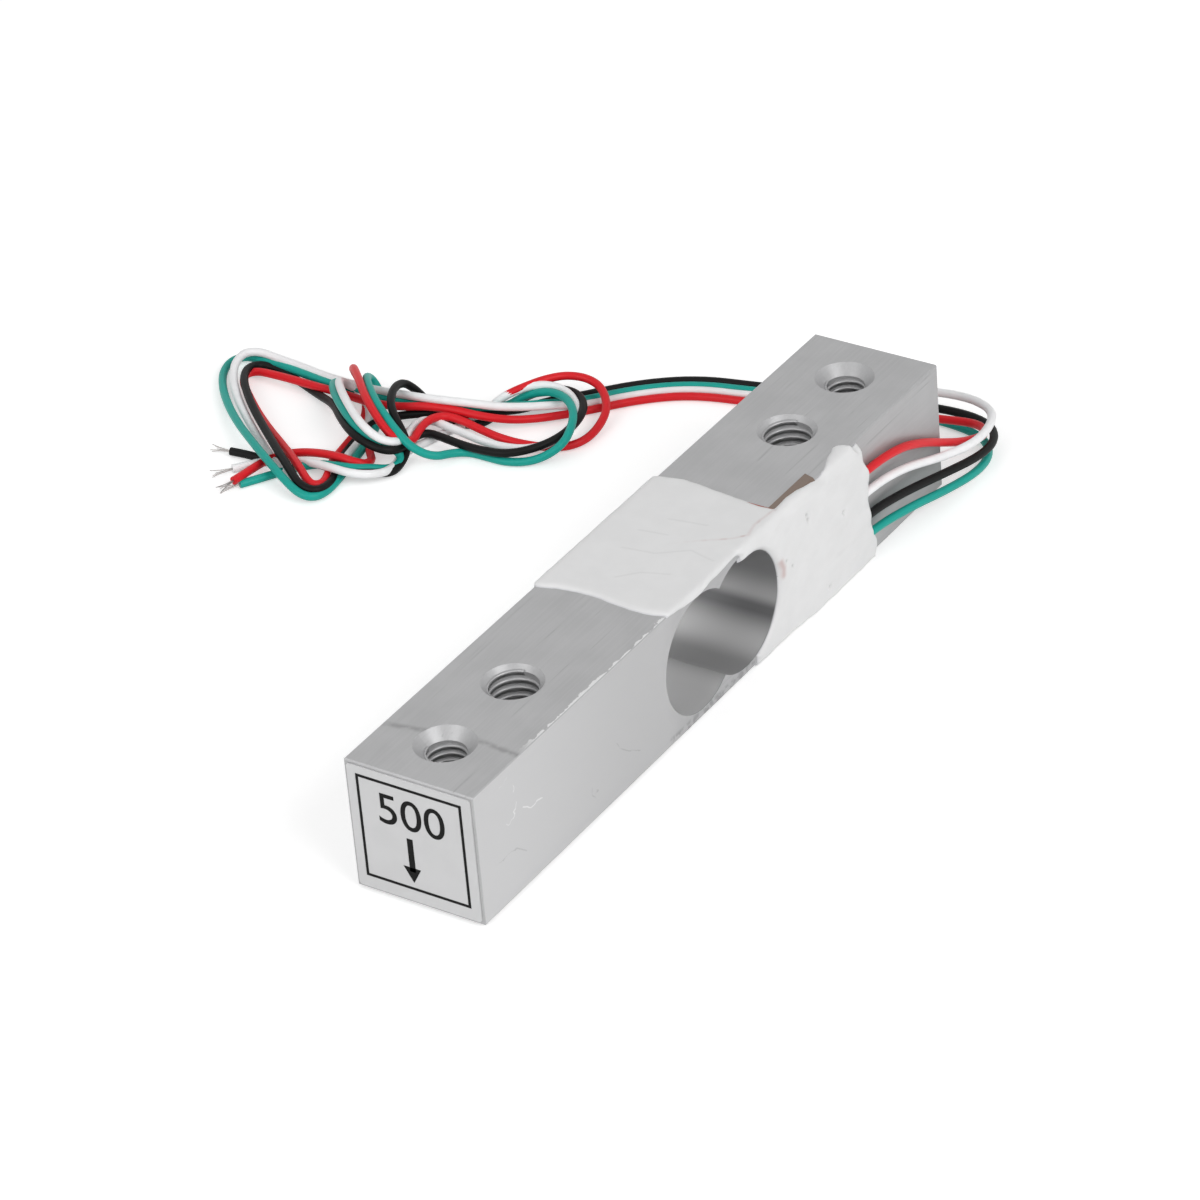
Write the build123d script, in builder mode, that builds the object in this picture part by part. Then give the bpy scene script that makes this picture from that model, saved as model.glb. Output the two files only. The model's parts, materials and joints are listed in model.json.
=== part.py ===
from build123d import *
import os
from math import copysign, radians, tan

# Single point load cell: a milled aluminium bar with a twin bore through its
# sides, four tapped holes from top to bottom, strain gauges over the bore's
# thin walls, a folded terminal flex on one side, silicone coats over them,
# and four leads that end in a tied hank.
#
# x runs across the bar, y along it towards the lead end, z up. The origin is
# on the table, under the middle of the bar. All sizes are in millimetres.

# Bar
BEAM_LENGTH = 75.0
BEAM_WIDTH = 12.7
BEAM_HEIGHT = 12.7
EDGE_BREAK = 0.12
LOBE_RADIUS = 5.6
LOBE_OFFSET = 3.45

# Tapped holes, M4 outside and M5 inside, each a plain wall at pitch diameter
END_TO_HOLE = 5.5
HOLE_PITCH = 10.0
OUTER_WALL_RADIUS = 1.77
INNER_WALL_RADIUS = 2.24
SINK_RADIUS = 2.7
SINK_ANGLE = 90.0

# End label
LABEL_SIZE = 12.1
LABEL_THICKNESS = 0.1
LABEL_CORNER = 0.3

# Strain gauges: a film with a foil grid on it
FILM_WIDTH = 3.6
FILM_LENGTH = 6.0
FILM_THICKNESS = 0.05
FILM_CORNER = 0.3
FOIL_THICKNESS = 0.03
STRAND_COUNT = 8
STRAND_WIDTH = 0.12
STRAND_PITCH = 0.25
STRAND_LENGTH = 2.8
TAB_WIDTH = 1.0
TAB_LENGTH = 0.9

# Terminal flex, folded over the top and bottom edges of the bar
FLEX_THICKNESS = 0.08
FLEX_FRONT = 8.4
FLEX_LENGTH = 8.2
FLEX_LEG = 1.9
PAD_THICKNESS = 0.04
PAD_LENGTH = 2.0
PAD_HEIGHT = 1.3
SOLDER_LENGTH = 1.6
SOLDER_HEIGHT = 1.0
SOLDER_RISE = 0.5
SOLDER_TAPER = 20.0

# Enamelled ribbon jumpers from the gauges to the flex
JUMPER_WIDTH = 0.16
JUMPER_THICKNESS = 0.06
JUMPER_SPACING = 0.4
JUMPER_REACH = 0.5

# Silicone coats
COAT_THICKNESS = 0.3
COAT_EDGE = 0.15
COAT_CORNER = 0.8
TOP_COAT_FRONT = 8.6
TOP_COAT_REAR = 10.6
SIDE_COAT_THICKNESS = 0.9
SIDE_COAT_EDGE = 0.3
SIDE_COAT_CORNER = 0.6
SIDE_COAT_FRONT = 3.5
SIDE_COAT_REAR = 24.0
SIDE_COAT_CLEARANCE = 0.1
LIP_THICKNESS = 0.25
LIP_SETBACK = 0.1

# Leads
WIRE_RADIUS = 0.4
WIRE_SIDES = 12
CORE_RADIUS = 0.2
WIRE_LIFT = 0.04
BEND_SHARE = 0.45
INSULATION_GAP = 0.9
BARE_END_RADIUS = 0.15
BARE_END_LENGTH = 2.0
RED_HEIGHT = 9.4
WHITE_HEIGHT = 7.3
BLACK_HEIGHT = 4.9
GREEN_HEIGHT = 3.0

# Tied hank
HANK_HEIGHT = 2.6
KNOT_HEIGHT = 4.8
KNOT_RADIUS = 3.0
HANK_EDGE = 0.6

# Planes and places that follow from the sizes
BEAM_BOTTOM = COAT_THICKNESS
BEAM_TOP = BEAM_BOTTOM + BEAM_HEIGHT
BEAM_MIDDLE = BEAM_BOTTOM + BEAM_HEIGHT / 2
HALF_WIDTH = BEAM_WIDTH / 2
HALF_LENGTH = BEAM_LENGTH / 2
OUTER_HOLE = HALF_LENGTH - END_TO_HOLE
INNER_HOLE = OUTER_HOLE - HOLE_PITCH
FLEX_REAR = FLEX_FRONT + FLEX_LENGTH
PAD_FACE = HALF_WIDTH + FLEX_THICKNESS + PAD_THICKNESS
PAD_CENTRE = FLEX_REAR - PAD_LENGTH / 2 - SIDE_COAT_CLEARANCE
WIRE_X = HALF_WIDTH + WIRE_LIFT + WIRE_RADIUS
INSULATION_START = FLEX_REAR + INSULATION_GAP
LYING = WIRE_RADIUS + WIRE_LIFT
LEAD_HEIGHTS = [BEAM_BOTTOM + h for h in (RED_HEIGHT, WHITE_HEIGHT, BLACK_HEIGHT, GREEN_HEIGHT)]


def lead_start(height):
    """First two points of a lead, which lies along the bar's side in the coat."""
    exit_y = SIDE_COAT_REAR - WIRE_RADIUS
    return [(WIRE_X, INSULATION_START, height), (WIRE_X, exit_y, height)]


# Routes of the leads, from the side coat round behind the bar to the hank
RED_ROUTE = lead_start(LEAD_HEIGHTS[0]) + [
    (7.0, 29.0, 9.1),
    (7.0, 33.2, 7.4),
    (7.0, 36.9, 5.3),
    (7.2, 40.2, 3.6),
    (7.8, 43.1, 2.8),
    (6.2, 45.2, 2.4),
    (2.8, 45.1, 2.1),
    (-3.2, 44.4, 1.4),
    (-9.8, 43.3, 0.7),
    (-16.6, 42.2, LYING),
    (-22.3, 40.9, LYING),
    (-26.3, 38.2, LYING),
    (-30.2, 33.8, LYING),
]
WHITE_ROUTE = lead_start(LEAD_HEIGHTS[1]) + [
    (7.1, 29.2, 6.9),
    (7.8, 35.0, 5.0),
    (8.7, 39.6, 4.2),
    (8.2, 43.6, 3.9),
    (6.6, 46.4, 3.6),
    (2.6, 48.0, 3.1),
    (-3.6, 47.6, 2.4),
    (-9.0, 45.3, 1.9),
    (-13.2, 43.9, 1.0),
    (-17.4, 43.1, LYING),
    (-22.7, 41.9, LYING),
    (-27.0, 39.0, LYING),
    (-31.0, 34.4, LYING),
]
BLACK_ROUTE = lead_start(LEAD_HEIGHTS[2]) + [
    (7.2, 29.2, 4.4),
    (7.9, 35.2, 3.2),
    (8.6, 40.4, 2.3),
    (8.3, 44.0, 1.9),
    (6.3, 46.7, 1.7),
    (1.8, 48.0, 1.2),
    (-4.6, 47.8, 0.5),
    (-11.2, 46.6, LYING),
    (-17.7, 44.9, LYING),
    (-23.4, 43.6, LYING),
    (-28.2, 40.4, LYING),
    (-32.6, 35.4, LYING),
]
GREEN_ROUTE = lead_start(LEAD_HEIGHTS[3]) + [
    (7.6, 29.4, 2.8),
    (8.4, 35.0, 1.8),
    (8.8, 39.8, 1.1),
    (8.0, 43.6, 0.7),
    (5.6, 46.2, 0.5),
    (1.0, 47.0, LYING),
    (-5.4, 46.6, LYING),
    (-11.6, 45.5, LYING),
    (-17.5, 44.0, LYING),
    (-23.0, 42.7, LYING),
    (-27.6, 39.7, LYING),
    (-31.8, 34.9, LYING),
]

# Free ends of the leads, from the hank outwards
RED_TAIL = [(-51.4, 12.9, LYING), (-51.8, 10.6, 0.6), (-52.5, 8.4, 0.9)]
WHITE_TAIL = [(-52.5, 13.1, LYING), (-53.3, 12.0, LYING), (-54.2, 10.9, LYING)]
BLACK_TAIL = [(-54.3, 14.2, LYING), (-55.6, 13.5, LYING), (-56.8, 13.0, LYING)]
GREEN_TAIL = [(-49.9, 12.0, LYING), (-50.6, 10.5, LYING), (-51.3, 9.3, LYING)]

# Plan of the hank: its edge, and the openings of its left and right loops
HANK_EDGE_POINTS = [
    (-66.8, 28.6),
    (-54.0, 27.9),
    (-46.4, 28.6),
    (-39.0, 28.6),
    (-33.4, 36.6),
    (-27.0, 34.4),
    (-24.9, 30.0),
    (-28.0, 25.2),
    (-36.4, 19.6),
    (-39.4, 13.6),
    (-44.0, 8.2),
    (-53.6, 12.6),
    (-64.2, 20.6),
]
LEFT_LOOP_POINTS = [(-62.4, 25.8), (-50.6, 24.4), (-47.2, 19.6), (-45.4, 13.0), (-51.8, 16.4)]
RIGHT_LOOP_POINTS = [(-36.6, 27.6), (-32.2, 33.4), (-28.8, 32.0), (-28.4, 29.4), (-33.2, 26.2)]
KNOT_LINE = [(-46.0, 23.6), (-40.6, 23.8)]


def mirrored_below(piece):
    """The same piece on the bar's underside."""
    return mirror(piece, about=Plane.XY.offset(BEAM_MIDDLE))


def gauge_film(centre_y):
    """Carrier film of one gauge on the bar's top face."""
    with BuildPart() as film:
        with BuildSketch(Plane.XY.offset(BEAM_TOP)):
            with Locations((0, centre_y)):
                RectangleRounded(FILM_WIDTH, FILM_LENGTH, FILM_CORNER)
        extrude(amount=FILM_THICKNESS)
    return film.part


def tab_centre(centre_y, side, half):
    """Middle of one solder tab: side is the film's end, half is left or right."""
    x = half * (STRAND_COUNT - 1) / 2 * STRAND_PITCH
    y = centre_y + side * (STRAND_LENGTH + TAB_LENGTH) / 2
    return (x, y)


def gauge_grid(centre_y, side):
    """Foil meander of one gauge, with its two tabs at the end that side names."""
    first = -(STRAND_COUNT - 1) / 2 * STRAND_PITCH
    loops = []
    for gap in range(STRAND_COUNT - 1):
        x = first + (gap + 0.5) * STRAND_PITCH
        end = -side if gap % 2 == 0 else side
        loops.append((x, centre_y + end * (STRAND_LENGTH - STRAND_WIDTH) / 2))
    with BuildPart() as grid:
        with BuildSketch(Plane.XY.offset(BEAM_TOP + FILM_THICKNESS)):
            with Locations((0, centre_y)):
                with GridLocations(STRAND_PITCH, 0, STRAND_COUNT, 1):
                    Rectangle(STRAND_WIDTH, STRAND_LENGTH)
            with Locations(*loops):
                Rectangle(STRAND_PITCH, STRAND_WIDTH)
            with Locations(tab_centre(centre_y, side, -1), tab_centre(centre_y, side, 1)):
                Rectangle(TAB_WIDTH, TAB_LENGTH)
        extrude(amount=FOIL_THICKNESS)
    return grid.part


def bend_radii(points):
    """Largest tangent arc at each corner that takes its share of the shorter run."""
    corners = [Vector(*point) for point in points]
    radii = []
    for before, corner, after in zip(corners, corners[1:], corners[2:]):
        run_in = corner - before
        run_out = after - corner
        half_turn = radians(run_in.get_angle(run_out)) / 2
        radii.append(BEND_SHARE * min(run_in.length, run_out.length) / tan(half_turn))
    return radii


def wire_tube(points, name):
    """Insulated wire, its round drawn with few sides, along runs joined by tangent arcs."""
    radii = bend_radii(points)
    with BuildPart() as tube:
        with BuildLine():
            path = FilletPolyline(*points, radius=radii)
        with BuildSketch(Plane(origin=path @ 0, z_dir=path % 0)) as section:
            RegularPolygon(WIRE_RADIUS, WIRE_SIDES)
        sweep()
    length = path.length
    filled = tube.part.volume / (section.sketch.area * length)
    print(f"{name}: length {length:.1f}, least radius {min(radii):.1f}, volume share {filled:.4f}")
    return tube.part


def socket(inner, outer):
    """Hole for a wire's end, from its inner point to where its first arc starts."""
    run = Vector(*outer) - Vector(*inner)
    with BuildPart() as hole:
        with BuildSketch(Plane(origin=inner, z_dir=run)):
            Circle(WIRE_RADIUS)
        extrude(amount=run.length * (1 - BEND_SHARE))
    return hole.part


def bare_end(tail):
    """Twisted conductor that stands out of a lead's stripped end."""
    tip = Vector(*tail[-1])
    outward = (tip - Vector(*tail[-2])).normalized()
    with BuildPart() as strands:
        with BuildSketch(Plane(origin=tip, z_dir=outward)):
            RegularPolygon(BARE_END_RADIUS, WIRE_SIDES)
        extrude(amount=BARE_END_LENGTH)
    return strands.part


# Twin bore: two overlapping circles pushed through the bar's sides
with BuildPart() as twin_bore:
    with BuildSketch(Plane.YZ):
        with Locations((-LOBE_OFFSET, BEAM_MIDDLE), (LOBE_OFFSET, BEAM_MIDDLE)):
            Circle(LOBE_RADIUS)
    extrude(amount=BEAM_WIDTH, both=True)

# Bar
with BuildPart() as beam:
    with Locations((0, 0, BEAM_MIDDLE)):
        Box(BEAM_WIDTH, BEAM_LENGTH, BEAM_HEIGHT)
    chamfer(beam.edges(), EDGE_BREAK)
    add(twin_bore.part, mode=Mode.SUBTRACT)
    for face in (Plane.XY.offset(BEAM_TOP), Plane.XY.offset(BEAM_BOTTOM).rotated((180, 0, 0))):
        with Locations(face):
            with Locations((0, OUTER_HOLE), (0, -OUTER_HOLE)):
                CounterSinkHole(OUTER_WALL_RADIUS, SINK_RADIUS, counter_sink_angle=SINK_ANGLE)
            with Locations((0, INNER_HOLE), (0, -INNER_HOLE)):
                CounterSinkHole(INNER_WALL_RADIUS, SINK_RADIUS, counter_sink_angle=SINK_ANGLE)

# End label, on the front face
with BuildPart() as end_label:
    with BuildSketch(Plane.XZ.offset(HALF_LENGTH)):
        with Locations((0, BEAM_MIDDLE)):
            RectangleRounded(LABEL_SIZE, LABEL_SIZE, LABEL_CORNER)
    extrude(amount=LABEL_THICKNESS)

# Gauges: two on top over the thin walls, and two below them
front_film = gauge_film(-LOBE_OFFSET)
rear_film = gauge_film(LOBE_OFFSET)
front_grid = gauge_grid(-LOBE_OFFSET, 1)
rear_grid = gauge_grid(LOBE_OFFSET, -1)

# Terminal flex
with BuildPart() as terminal_flex:
    with BuildSketch(Plane.XZ.offset(-FLEX_REAR)):
        with BuildLine():
            Polyline(
                (HALF_WIDTH - FLEX_LEG, BEAM_TOP),
                (HALF_WIDTH - FLEX_LEG, BEAM_TOP + FLEX_THICKNESS),
                (HALF_WIDTH + FLEX_THICKNESS, BEAM_TOP + FLEX_THICKNESS),
                (HALF_WIDTH + FLEX_THICKNESS, BEAM_BOTTOM - FLEX_THICKNESS),
                (HALF_WIDTH - FLEX_LEG, BEAM_BOTTOM - FLEX_THICKNESS),
                (HALF_WIDTH - FLEX_LEG, BEAM_BOTTOM),
                (HALF_WIDTH, BEAM_BOTTOM),
                (HALF_WIDTH, BEAM_TOP),
                close=True,
            )
        make_face()
    extrude(amount=FLEX_LENGTH)

# Copper pads for the leads, and the stripped cores soldered to them
pad_places = [(PAD_CENTRE, height) for height in LEAD_HEIGHTS]
with BuildPart() as terminal_pads:
    with BuildSketch(Plane.YZ.offset(HALF_WIDTH + FLEX_THICKNESS)):
        with Locations(*pad_places):
            Rectangle(PAD_LENGTH, PAD_HEIGHT)
    extrude(amount=PAD_THICKNESS)

with BuildPart() as lead_cores:
    with BuildSketch(Plane.XZ.offset(-INSULATION_START)):
        with Locations(*[(WIRE_X, height) for height in LEAD_HEIGHTS]):
            RegularPolygon(CORE_RADIUS, WIRE_SIDES)
    extrude(amount=INSULATION_START - PAD_CENTRE)

with BuildPart() as solder_joints:
    with BuildSketch(Plane.YZ.offset(PAD_FACE)):
        with Locations(*pad_places):
            Rectangle(SOLDER_LENGTH, SOLDER_HEIGHT)
    extrude(amount=SOLDER_RISE, taper=SOLDER_TAPER)
    add(lead_cores.part, mode=Mode.SUBTRACT)

# Enamelled jumpers: four lanes that turn off to the flex without crossing
jumper_bottom = BEAM_TOP + max(FILM_THICKNESS + FOIL_THICKNESS, FLEX_THICKNESS)
jumper_starts = [
    tab_centre(LOBE_OFFSET, -1, 1),
    tab_centre(LOBE_OFFSET, -1, -1),
    tab_centre(-LOBE_OFFSET, 1, -1),
    tab_centre(-LOBE_OFFSET, 1, 1),
]
with BuildPart() as top_jumpers:
    for lane, (start_x, start_y) in enumerate(jumper_starts):
        lane_x = FILM_WIDTH / 2 + (lane + 1) * JUMPER_SPACING
        flex_y = FLEX_FRONT + (len(jumper_starts) - lane) * JUMPER_SPACING
        leave_y = start_y
        plan = [(start_x, start_y)]
        if start_x < 0:
            leave_y = start_y - copysign(TAB_LENGTH / 2, start_y)
            plan.append((start_x, leave_y))
        plan += [(lane_x, leave_y), (lane_x, flex_y), (HALF_WIDTH - JUMPER_REACH, flex_y)]
        with BuildSketch(Plane.XY.offset(jumper_bottom)):
            with BuildLine():
                lane_line = Polyline(*plan)
            trace(lane_line, JUMPER_WIDTH)
        extrude(amount=JUMPER_THICKNESS)

# Top coat: a thin brushed pad whose front and rear borders wander a little
FRONT_WANDER = [(-1.0, -0.5), (-0.25, 0.25), (0.35, -0.05), (1.0, 0.3)]
REAR_WANDER = [(1.0, -0.3), (0.3, -0.15), (-0.15, 0.25), (-0.7, 0.4), (-1.0, -0.15)]
with BuildPart() as top_coat:
    with BuildSketch(Plane.XY.offset(BEAM_TOP)):
        with BuildLine():
            front = [(share * HALF_WIDTH, out - TOP_COAT_FRONT) for share, out in FRONT_WANDER]
            rear = [(share * HALF_WIDTH, out + TOP_COAT_REAR) for share, out in REAR_WANDER]
            FilletPolyline(*front, *rear, radius=COAT_CORNER, close=True)
        make_face()
    extrude(amount=COAT_THICKNESS)
    chamfer(top_coat.faces().sort_by(Axis.Z)[-1].edges(), COAT_EDGE)
    for inner in (front_film, rear_film, front_grid, rear_grid, terminal_flex.part, top_jumpers.part):
        add(inner, mode=Mode.SUBTRACT)

# Leads
ROUTES = {"red": RED_ROUTE, "white": WHITE_ROUTE, "black": BLACK_ROUTE, "green": GREEN_ROUTE}
TAILS = {"red": RED_TAIL, "white": WHITE_TAIL, "black": BLACK_TAIL, "green": GREEN_TAIL}
leads = {colour: wire_tube(route, f"{colour}_lead") for colour, route in ROUTES.items()}
tails = {colour: wire_tube(tail, f"{colour}_tail") for colour, tail in TAILS.items()}
bare_ends = {colour: bare_end(tail) for colour, tail in TAILS.items()}

# Side coat: a thick blob from the bore's rear lobe to the leads, with lips
# that run over the bar's top edge
REAR_BORDER = [(-0.9, 0.0), (0.1, 0.25), (-0.3, 0.42), (0.0, 0.55), (0.3, 0.75), (0.7, 0.9), (0.5, 1.0)]
FRONT_LIP = [(10.8, -0.2), (11.2, 0.6), (12.4, 0.75), (14.6, 0.2), (15.4, -0.2)]
REAR_LIP = [(17.4, -0.2), (18.2, 0.25), (20.0, 1.0), (21.4, 0.9), (22.3, -0.2)]
low_border = BEAM_BOTTOM + SIDE_COAT_CLEARANCE
coat_face = HALF_WIDTH + SIDE_COAT_THICKNESS
with BuildPart() as side_coat:
    with BuildSketch(Plane.YZ.offset(HALF_WIDTH)):
        with BuildLine():
            drop = BEAM_TOP - low_border
            border = [(SIDE_COAT_REAR + out, BEAM_TOP - share * drop) for out, share in REAR_BORDER]
            front = [(SIDE_COAT_FRONT, low_border), (SIDE_COAT_FRONT, BEAM_TOP)]
            FilletPolyline(*border, *front, radius=SIDE_COAT_CORNER, close=True)
        make_face()
    extrude(amount=SIDE_COAT_THICKNESS)
    chamfer(side_coat.faces().sort_by(Axis.X)[-1].edges(), SIDE_COAT_EDGE)
    with BuildSketch(Plane.XY.offset(BEAM_TOP)):
        for lip in (FRONT_LIP, REAR_LIP):
            inner_border = [(HALF_WIDTH - reach, y) for y, reach in lip]
            outer_x = coat_face - SIDE_COAT_EDGE - LIP_SETBACK
            Polygon(*inner_border, (outer_x, lip[-1][0]), (outer_x, lip[0][0]), align=None)
    extrude(amount=LIP_THICKNESS)
    add(twin_bore.part, mode=Mode.SUBTRACT)
    for inner in (terminal_flex, terminal_pads, solder_joints, lead_cores):
        add(inner.part, mode=Mode.SUBTRACT)
    for lead in leads.values():
        add(lead, mode=Mode.SUBTRACT)

# Hank: the outer shape of the tied leads, lying on the table
sockets = [socket(route[-1], route[-2]) for route in ROUTES.values()]
with BuildPart() as wire_hank:
    with BuildSketch():
        with BuildLine():
            Polyline(*HANK_EDGE_POINTS, close=True)
        make_face()
        for loop in (LEFT_LOOP_POINTS, RIGHT_LOOP_POINTS):
            with BuildLine():
                Polyline(*loop, close=True)
            make_face(mode=Mode.SUBTRACT)
    extrude(amount=HANK_HEIGHT)
    chamfer(wire_hank.faces().sort_by(Axis.Z)[-1].edges(), HANK_EDGE)
    with BuildSketch():
        for place in KNOT_LINE:
            with Locations(place):
                Circle(KNOT_RADIUS)
        make_hull()
    extrude(amount=KNOT_HEIGHT)
    for end in sockets + list(tails.values()):
        add(end, mode=Mode.SUBTRACT)

# Names and files
pieces = {
    "beam": beam.part,
    "end_label": end_label.part,
    "top_front_gauge_film": front_film,
    "top_rear_gauge_film": rear_film,
    "bottom_front_gauge_film": mirrored_below(front_film),
    "bottom_rear_gauge_film": mirrored_below(rear_film),
    "top_front_gauge_grid": front_grid,
    "top_rear_gauge_grid": rear_grid,
    "bottom_front_gauge_grid": mirrored_below(front_grid),
    "bottom_rear_gauge_grid": mirrored_below(rear_grid),
    "terminal_flex": terminal_flex.part,
    "terminal_pads": terminal_pads.part,
    "lead_cores": lead_cores.part,
    "solder_joints": solder_joints.part,
    "top_jumpers": top_jumpers.part,
    "bottom_jumpers": mirrored_below(top_jumpers.part),
    "top_coat": top_coat.part,
    "bottom_coat": mirrored_below(top_coat.part),
    "side_coat": side_coat.part,
    "wire_hank": wire_hank.part,
}
for colour in ROUTES:
    pieces[f"{colour}_lead"] = leads[colour]
    pieces[f"{colour}_tail"] = tails[colour]
    pieces[f"{colour}_bare_end"] = bare_ends[colour]

os.makedirs("parts", exist_ok=True)
for name, piece in pieces.items():
    piece.label = name
    export_step(piece, f"parts/{name}.step")
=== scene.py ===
import json
import logging
import math
from dataclasses import dataclass, field
from enum import Enum
from typing import Sequence

import bpy
import numpy as np
from mathutils import Matrix, Vector


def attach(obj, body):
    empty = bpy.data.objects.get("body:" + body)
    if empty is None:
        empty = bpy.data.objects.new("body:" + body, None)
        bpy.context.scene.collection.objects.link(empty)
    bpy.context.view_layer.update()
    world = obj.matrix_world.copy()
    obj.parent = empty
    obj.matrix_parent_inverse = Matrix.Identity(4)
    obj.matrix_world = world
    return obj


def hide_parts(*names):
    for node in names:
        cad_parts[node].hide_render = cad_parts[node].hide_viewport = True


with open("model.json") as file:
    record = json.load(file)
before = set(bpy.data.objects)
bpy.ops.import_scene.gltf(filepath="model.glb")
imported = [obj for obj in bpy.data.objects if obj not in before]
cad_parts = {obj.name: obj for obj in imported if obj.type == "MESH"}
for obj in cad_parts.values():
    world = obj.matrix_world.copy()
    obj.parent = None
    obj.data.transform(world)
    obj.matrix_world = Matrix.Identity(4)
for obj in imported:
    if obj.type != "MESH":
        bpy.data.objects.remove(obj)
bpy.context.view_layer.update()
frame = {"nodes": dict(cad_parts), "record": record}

# Single point load cell: finishes, silicone, leads and small detail round the
# solid model. Sizes are in millimetres until a mesh is made; x runs across the
# bar, y along it towards the lead end, z up from the table.

Point = tuple[float, float, float]
Pair = tuple[float, float]
Colour = tuple[float, float, float]

MM = 0.001
BODY = "root"
LOG = logging.getLogger("load_cell")

# Bar, as in the solid model
BAR_WIDTH = 12.7
BAR_HEIGHT = 12.7
BAR_LENGTH = 75.0
BAR_BOTTOM = 0.3
BAR_TOP = BAR_BOTTOM + BAR_HEIGHT
BAR_MIDDLE = BAR_BOTTOM + BAR_HEIGHT / 2
HALF_WIDTH = BAR_WIDTH / 2
HALF_LENGTH = BAR_LENGTH / 2
LOBE_RADIUS = 5.6
LOBE_OFFSET = 3.45

# Leads, as in the solid model
WIRE_RADIUS = 0.4
LYING = 0.44
LEAD_X = 6.79
LEAD_START = 17.5
LEAD_EXIT = 23.6
LEAD_HEIGHTS = (9.7, 7.6, 5.2, 3.3)
MEASURE_STEPS = 8

# Bare strands: the ring they start from, and the seed of their sizes
STRAND_RING = 0.07
STRAND_SEED = 4

RED_ROUTE = [
    (7.0, 29.0, 9.1), (7.0, 33.2, 7.4), (7.0, 36.9, 5.3), (7.2, 40.2, 3.6), (7.8, 43.1, 2.8),
    (6.2, 45.2, 2.4), (2.8, 45.1, 2.1), (-3.2, 44.4, 1.4), (-9.8, 43.3, 0.7),
    (-16.6, 42.2, LYING), (-22.3, 40.9, LYING), (-26.3, 38.2, LYING), (-30.2, 33.8, LYING),
]
WHITE_ROUTE = [
    (7.1, 29.2, 6.9), (7.8, 35.0, 5.0), (8.7, 39.6, 4.2), (8.2, 43.6, 3.9), (6.6, 46.4, 3.6),
    (2.6, 48.0, 3.1), (-3.6, 47.6, 2.4), (-9.0, 45.3, 1.9), (-13.2, 43.9, 1.0),
    (-17.4, 43.1, LYING), (-22.7, 41.9, LYING), (-27.0, 39.0, LYING), (-31.0, 34.4, LYING),
]
BLACK_ROUTE = [
    (7.2, 29.2, 4.4), (7.9, 35.2, 3.2), (8.6, 40.4, 2.3), (8.3, 44.0, 1.9), (6.3, 46.7, 1.7),
    (1.8, 48.0, 1.2), (-4.6, 47.8, 0.5), (-11.2, 46.6, LYING), (-17.7, 44.9, LYING),
    (-23.4, 43.6, LYING), (-28.2, 40.4, LYING), (-32.6, 35.4, LYING),
]
GREEN_ROUTE = [
    (7.6, 29.4, 2.8), (8.4, 35.0, 1.8), (8.8, 39.8, 1.1), (8.0, 43.6, 0.7), (5.6, 46.2, 0.5),
    (1.0, 47.0, LYING), (-5.4, 46.6, LYING), (-11.6, 45.5, LYING), (-17.5, 44.0, LYING),
    (-23.0, 42.7, LYING), (-27.6, 39.7, LYING), (-31.8, 34.9, LYING),
]

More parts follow.
